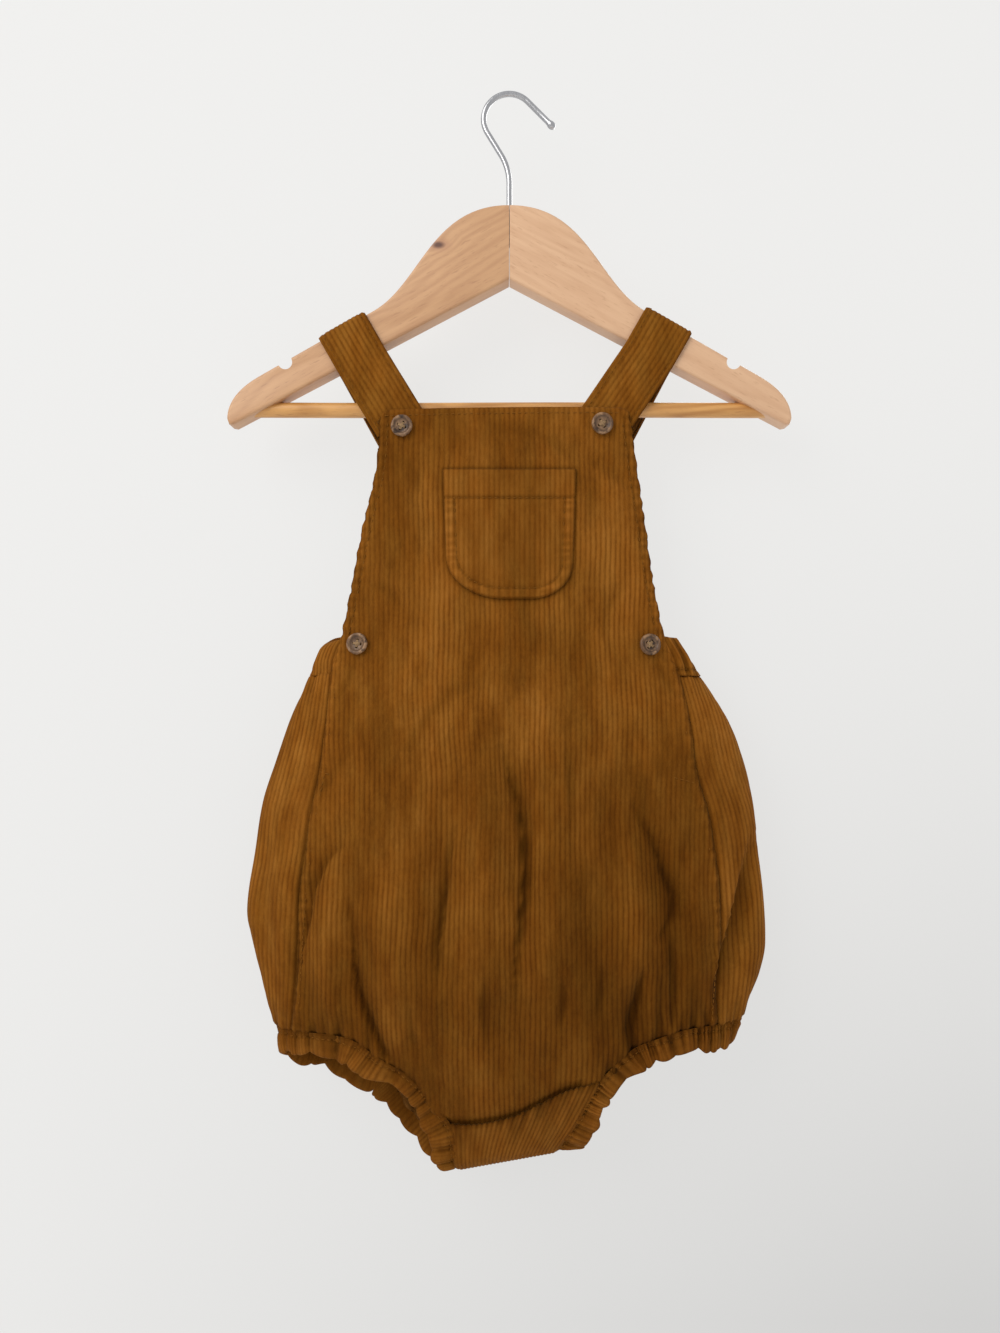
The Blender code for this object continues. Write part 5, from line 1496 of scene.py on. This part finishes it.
def makeBar():
    bm = bmesh.new()
    place = Matrix.Translation((0, 0, hanger["barZ"] * mm)) @ lying
    addRod(bm, hanger["barRadius"] * mm, 2 * hanger["barHalf"] * mm, place, 48)
    lengthwise = [edge for edge in bm.edges if abs(edge.verts[0].co.x - edge.verts[1].co.x) > 0.1]
    bmesh.ops.subdivide_edges(bm, edges=lengthwise, cuts=40, use_grid_fill=True)
    for vert in bm.verts:  # a turned dowel is never quite straight
        vert.co.z += 0.00015 * math.sin(vert.co.x * 31 + 0.6)
    mesh = meshFrom(bm, "hangerBar")
    mesh.materials.append(barWood)
    finishPiece(bpy.data.objects.new("hangerBar", mesh), ["hanger_bar"])
    mesh.set_sharp_from_angle(angle=math.radians(40))


def makeHook():
    centre = np.array((0, hook["wire"] - hook["radius"]))
    angles = np.linspace(hook["tipAngle"], hook["neckAngle"], 56)[:, None]
    crown = centre + hook["radius"] * np.concatenate([np.cos(angles), np.sin(angles)], axis=1)
    tipWay = np.array((math.sin(hook["tipAngle"]), -math.cos(hook["tipAngle"])))
    neckWay = np.array((-math.sin(hook["neckAngle"]), math.cos(hook["neckAngle"])))
    tip = [crown[0] + tipWay * hook["tipRun"] * share for share in hook["tipShares"]]
    bend = crown[-1] - neckWay * (crown[-1, 0] / neckWay[0])
    start, end = bend - neckWay * hook["fillet"], bend + np.array((0, -hook["fillet"]))
    t = np.linspace(0, 1, 14)[:, None]
    fillet = (1 - t) ** 2 * start + 2 * t * (1 - t) * bend + t * t * end
    route = np.concatenate([tip, crown, fillet, [(0, hanger["topZ"]), (0, hanger["topZ"] - hook["sunk"])]])
    data = bpy.data.curves.new("hookWire", "CURVE")
    data.dimensions, data.bevel_depth, data.bevel_resolution = "3D", hook["wire"] * mm, 6
    data.use_fill_caps = True
    line = data.splines.new("POLY")
    line.points.add(len(route) - 1)
    for point, (x, z) in zip(line.points, route):
        point.co = (x * mm, 0, z * mm, 1)
    for point, growth in zip(line.points, hook["tipGirths"]):
        point.radius = growth
    wire = bpy.data.objects.new("hookWire", data)
    bpy.context.scene.collection.objects.link(wire)
    mesh = meshOf(wire)
    bpy.data.objects.remove(wire)
    mesh.materials.clear()
    mesh.materials.append(steel)
    finishPiece(bpy.data.objects.new("wireHook", mesh), ["hook"])
    mesh.set_sharp_from_angle(angle=math.radians(50))


slopeTurn = math.atan(0.55)
knot = {  # on the left arm, under the joint
    "scale": (220, 60, 400),
    "shift": (8.3, 0, 33.0),
    "bend": 0.004,
    "ring": (0.42, 0.2, 0.11),
    "heart": (0.1, 0.035, 0.02),
}
paleBeech = ((0.72, 0.45, 0.265), (0.6, 0.34, 0.19), (0.48, 0.25, 0.13), 0.3)
redBeech = ((0.6, 0.34, 0.17), (0.48, 0.25, 0.12), (0.36, 0.17, 0.08), 0.45)
dowel = ((0.7, 0.36, 0.11), (0.46, 0.2, 0.045), (0.34, 0.13, 0.03), 0.6)
rightBeech = woodMaterial("rightBeech", *paleBeech, (0, -slopeTurn, 0))
leftBeech = woodMaterial("leftBeech", *redBeech, (0, slopeTurn, 0), knot=knot)
barWood = woodMaterial("barPine", *dowel, (0, 0, 0), roughness=0.4, coat=0.2)
makeArm("hangerArmLeft", "hanger_arm_left", -1, leftBeech)
makeArm("hangerArmRight", "hanger_arm_right", 1, rightBeech)
makeBar()
makeHook()
print("hanger is built")

# Stage: pale floor and a wall that glows as painted light, soft light from the left
stage = {
    "paintedGlow": 0.76,
    "wallY": 31.0,
    "floorZ": -860.0,
    "half": 1800.0,
    "wall": (0.1, 0.0996, 0.0985),
    "floor": (0.86, 0.855, 0.845),
}
camera = {"x": -5.0, "y": -516.5, "z": -306.4, "lens": 25.94}


def paleMaterial(name, color, oneSided):
    finish, tree, shader = newMaterial(name, 0.95, Specular_IOR_Level=0.0, Emission_Strength=0.0)
    shader.inputs["Emission Color"].default_value = (1, 0.995, 0.98, 1)
    place = objectPlace(tree)
    plaster = cloudy(tree, place, (2, 2, 2))
    dim = tuple(0.985 * part for part in color)
    tree.links.new(mixColor(tree, plaster, (*dim, 1), (*color, 1)), shader.inputs["Base Color"])
    if oneSided:  # painted light: it glows, dimmer towards its foot and its right where the window light falls off, and out of the way when it is seen from behind
        axes = tree.nodes.new("ShaderNodeSeparateXYZ")
        tree.links.new(place, axes.inputs[0])
        low = calc(tree, "POWER", spread(tree, axes.outputs["Z"], 0.0, -0.68), 2)
        paintedFalloff = calc(tree, "MULTIPLY", low, spread(tree, axes.outputs["X"], -0.28, 0.26, 0.04, 0.21))
        tree.links.new(calc(tree, "SUBTRACT", stage["paintedGlow"], paintedFalloff), shader.inputs["Emission Strength"])
        through = tree.nodes.new("ShaderNodeBsdfTransparent")
        sides = tree.nodes.new("ShaderNodeMixShader")
        tree.links.new(tree.nodes.new("ShaderNodeNewGeometry").outputs["Backfacing"], sides.inputs[0])
        tree.links.new(shader.outputs[0], sides.inputs[1])
        tree.links.new(through.outputs[0], sides.inputs[2])
        tree.links.new(sides.outputs[0], tree.nodes["Material Output"].inputs["Surface"])
    return finish


def makeStage():
    for name, color, isWall in (("wall", stage["wall"], True), ("floor", stage["floor"], False)):
        bm = bmesh.new()
        bmesh.ops.create_grid(bm, x_segments=1, y_segments=1, size=stage["half"] * mm)
        if isWall:
            middle = (0, stage["wallY"] * mm, (stage["floorZ"] + stage["half"]) * mm)
            bmesh.ops.rotate(bm, verts=bm.verts, matrix=Matrix.Rotation(math.pi / 2, 3, "X"))
            bmesh.ops.translate(bm, verts=bm.verts, vec=middle)
        else:
            bmesh.ops.translate(bm, verts=bm.verts, vec=(0, 0, stage["floorZ"] * mm))
        mesh = meshFrom(bm, name)
        mesh.materials.append(paleMaterial(name + "Pale", color, isWall))
        thing = bpy.data.objects.new(name, mesh)
        bpy.context.scene.collection.objects.link(thing)
        if isWall:  # it takes shadows but throws none, so the back is lit too
            thing.visible_shadow = thing.visible_diffuse = False
            thing.visible_glossy = thing.visible_transmission = False


def makeLight(name, place, aim, size, power, color):
    data = bpy.data.lights.new(name, "AREA")
    data.shape, data.size, data.size_y, data.energy, data.color = "RECTANGLE", *size, power, color
    light = bpy.data.objects.new(name, data)
    light.location = place
    light.rotation_mode = "QUATERNION"
    light.rotation_quaternion = (Vector(aim) - Vector(place)).to_track_quat("-Z", "Y")
    bpy.context.scene.collection.objects.link(light)


makeStage()
makeLight("windowLight", (-0.85, -0.95, 0.55), (0.0, 0, -0.25), (0.9, 1.1), 12.0, (1.0, 0.985, 0.96))
makeLight("backLight", (0.9, 1.5, 0.5), (0, 0, -0.3), (1.2, 1.2), 14, (1.0, 0.99, 0.97))
world = bpy.data.worlds.new("paleRoom")
bpy.context.scene.world = world
world.use_nodes = True
world.node_tree.nodes["Background"].inputs["Color"].default_value = (0.98, 0.985, 1.0, 1)
world.node_tree.nodes["Background"].inputs["Strength"].default_value = 0.7
lens = bpy.data.cameras.new("camera")
lens.lens, lens.sensor_width, lens.sensor_fit = camera["lens"], 36.0, "AUTO"
lens.clip_start, lens.clip_end = 0.01, 20.0
eye = bpy.data.objects.new("camera", lens)
eye.location = (camera["x"] * mm, camera["y"] * mm, camera["z"] * mm)
eye.rotation_euler = (math.pi / 2, 0, 0)
bpy.context.scene.collection.objects.link(eye)
bpy.context.scene.camera = eye
bpy.context.scene.view_settings.view_transform = "Standard"
print("stage is set")
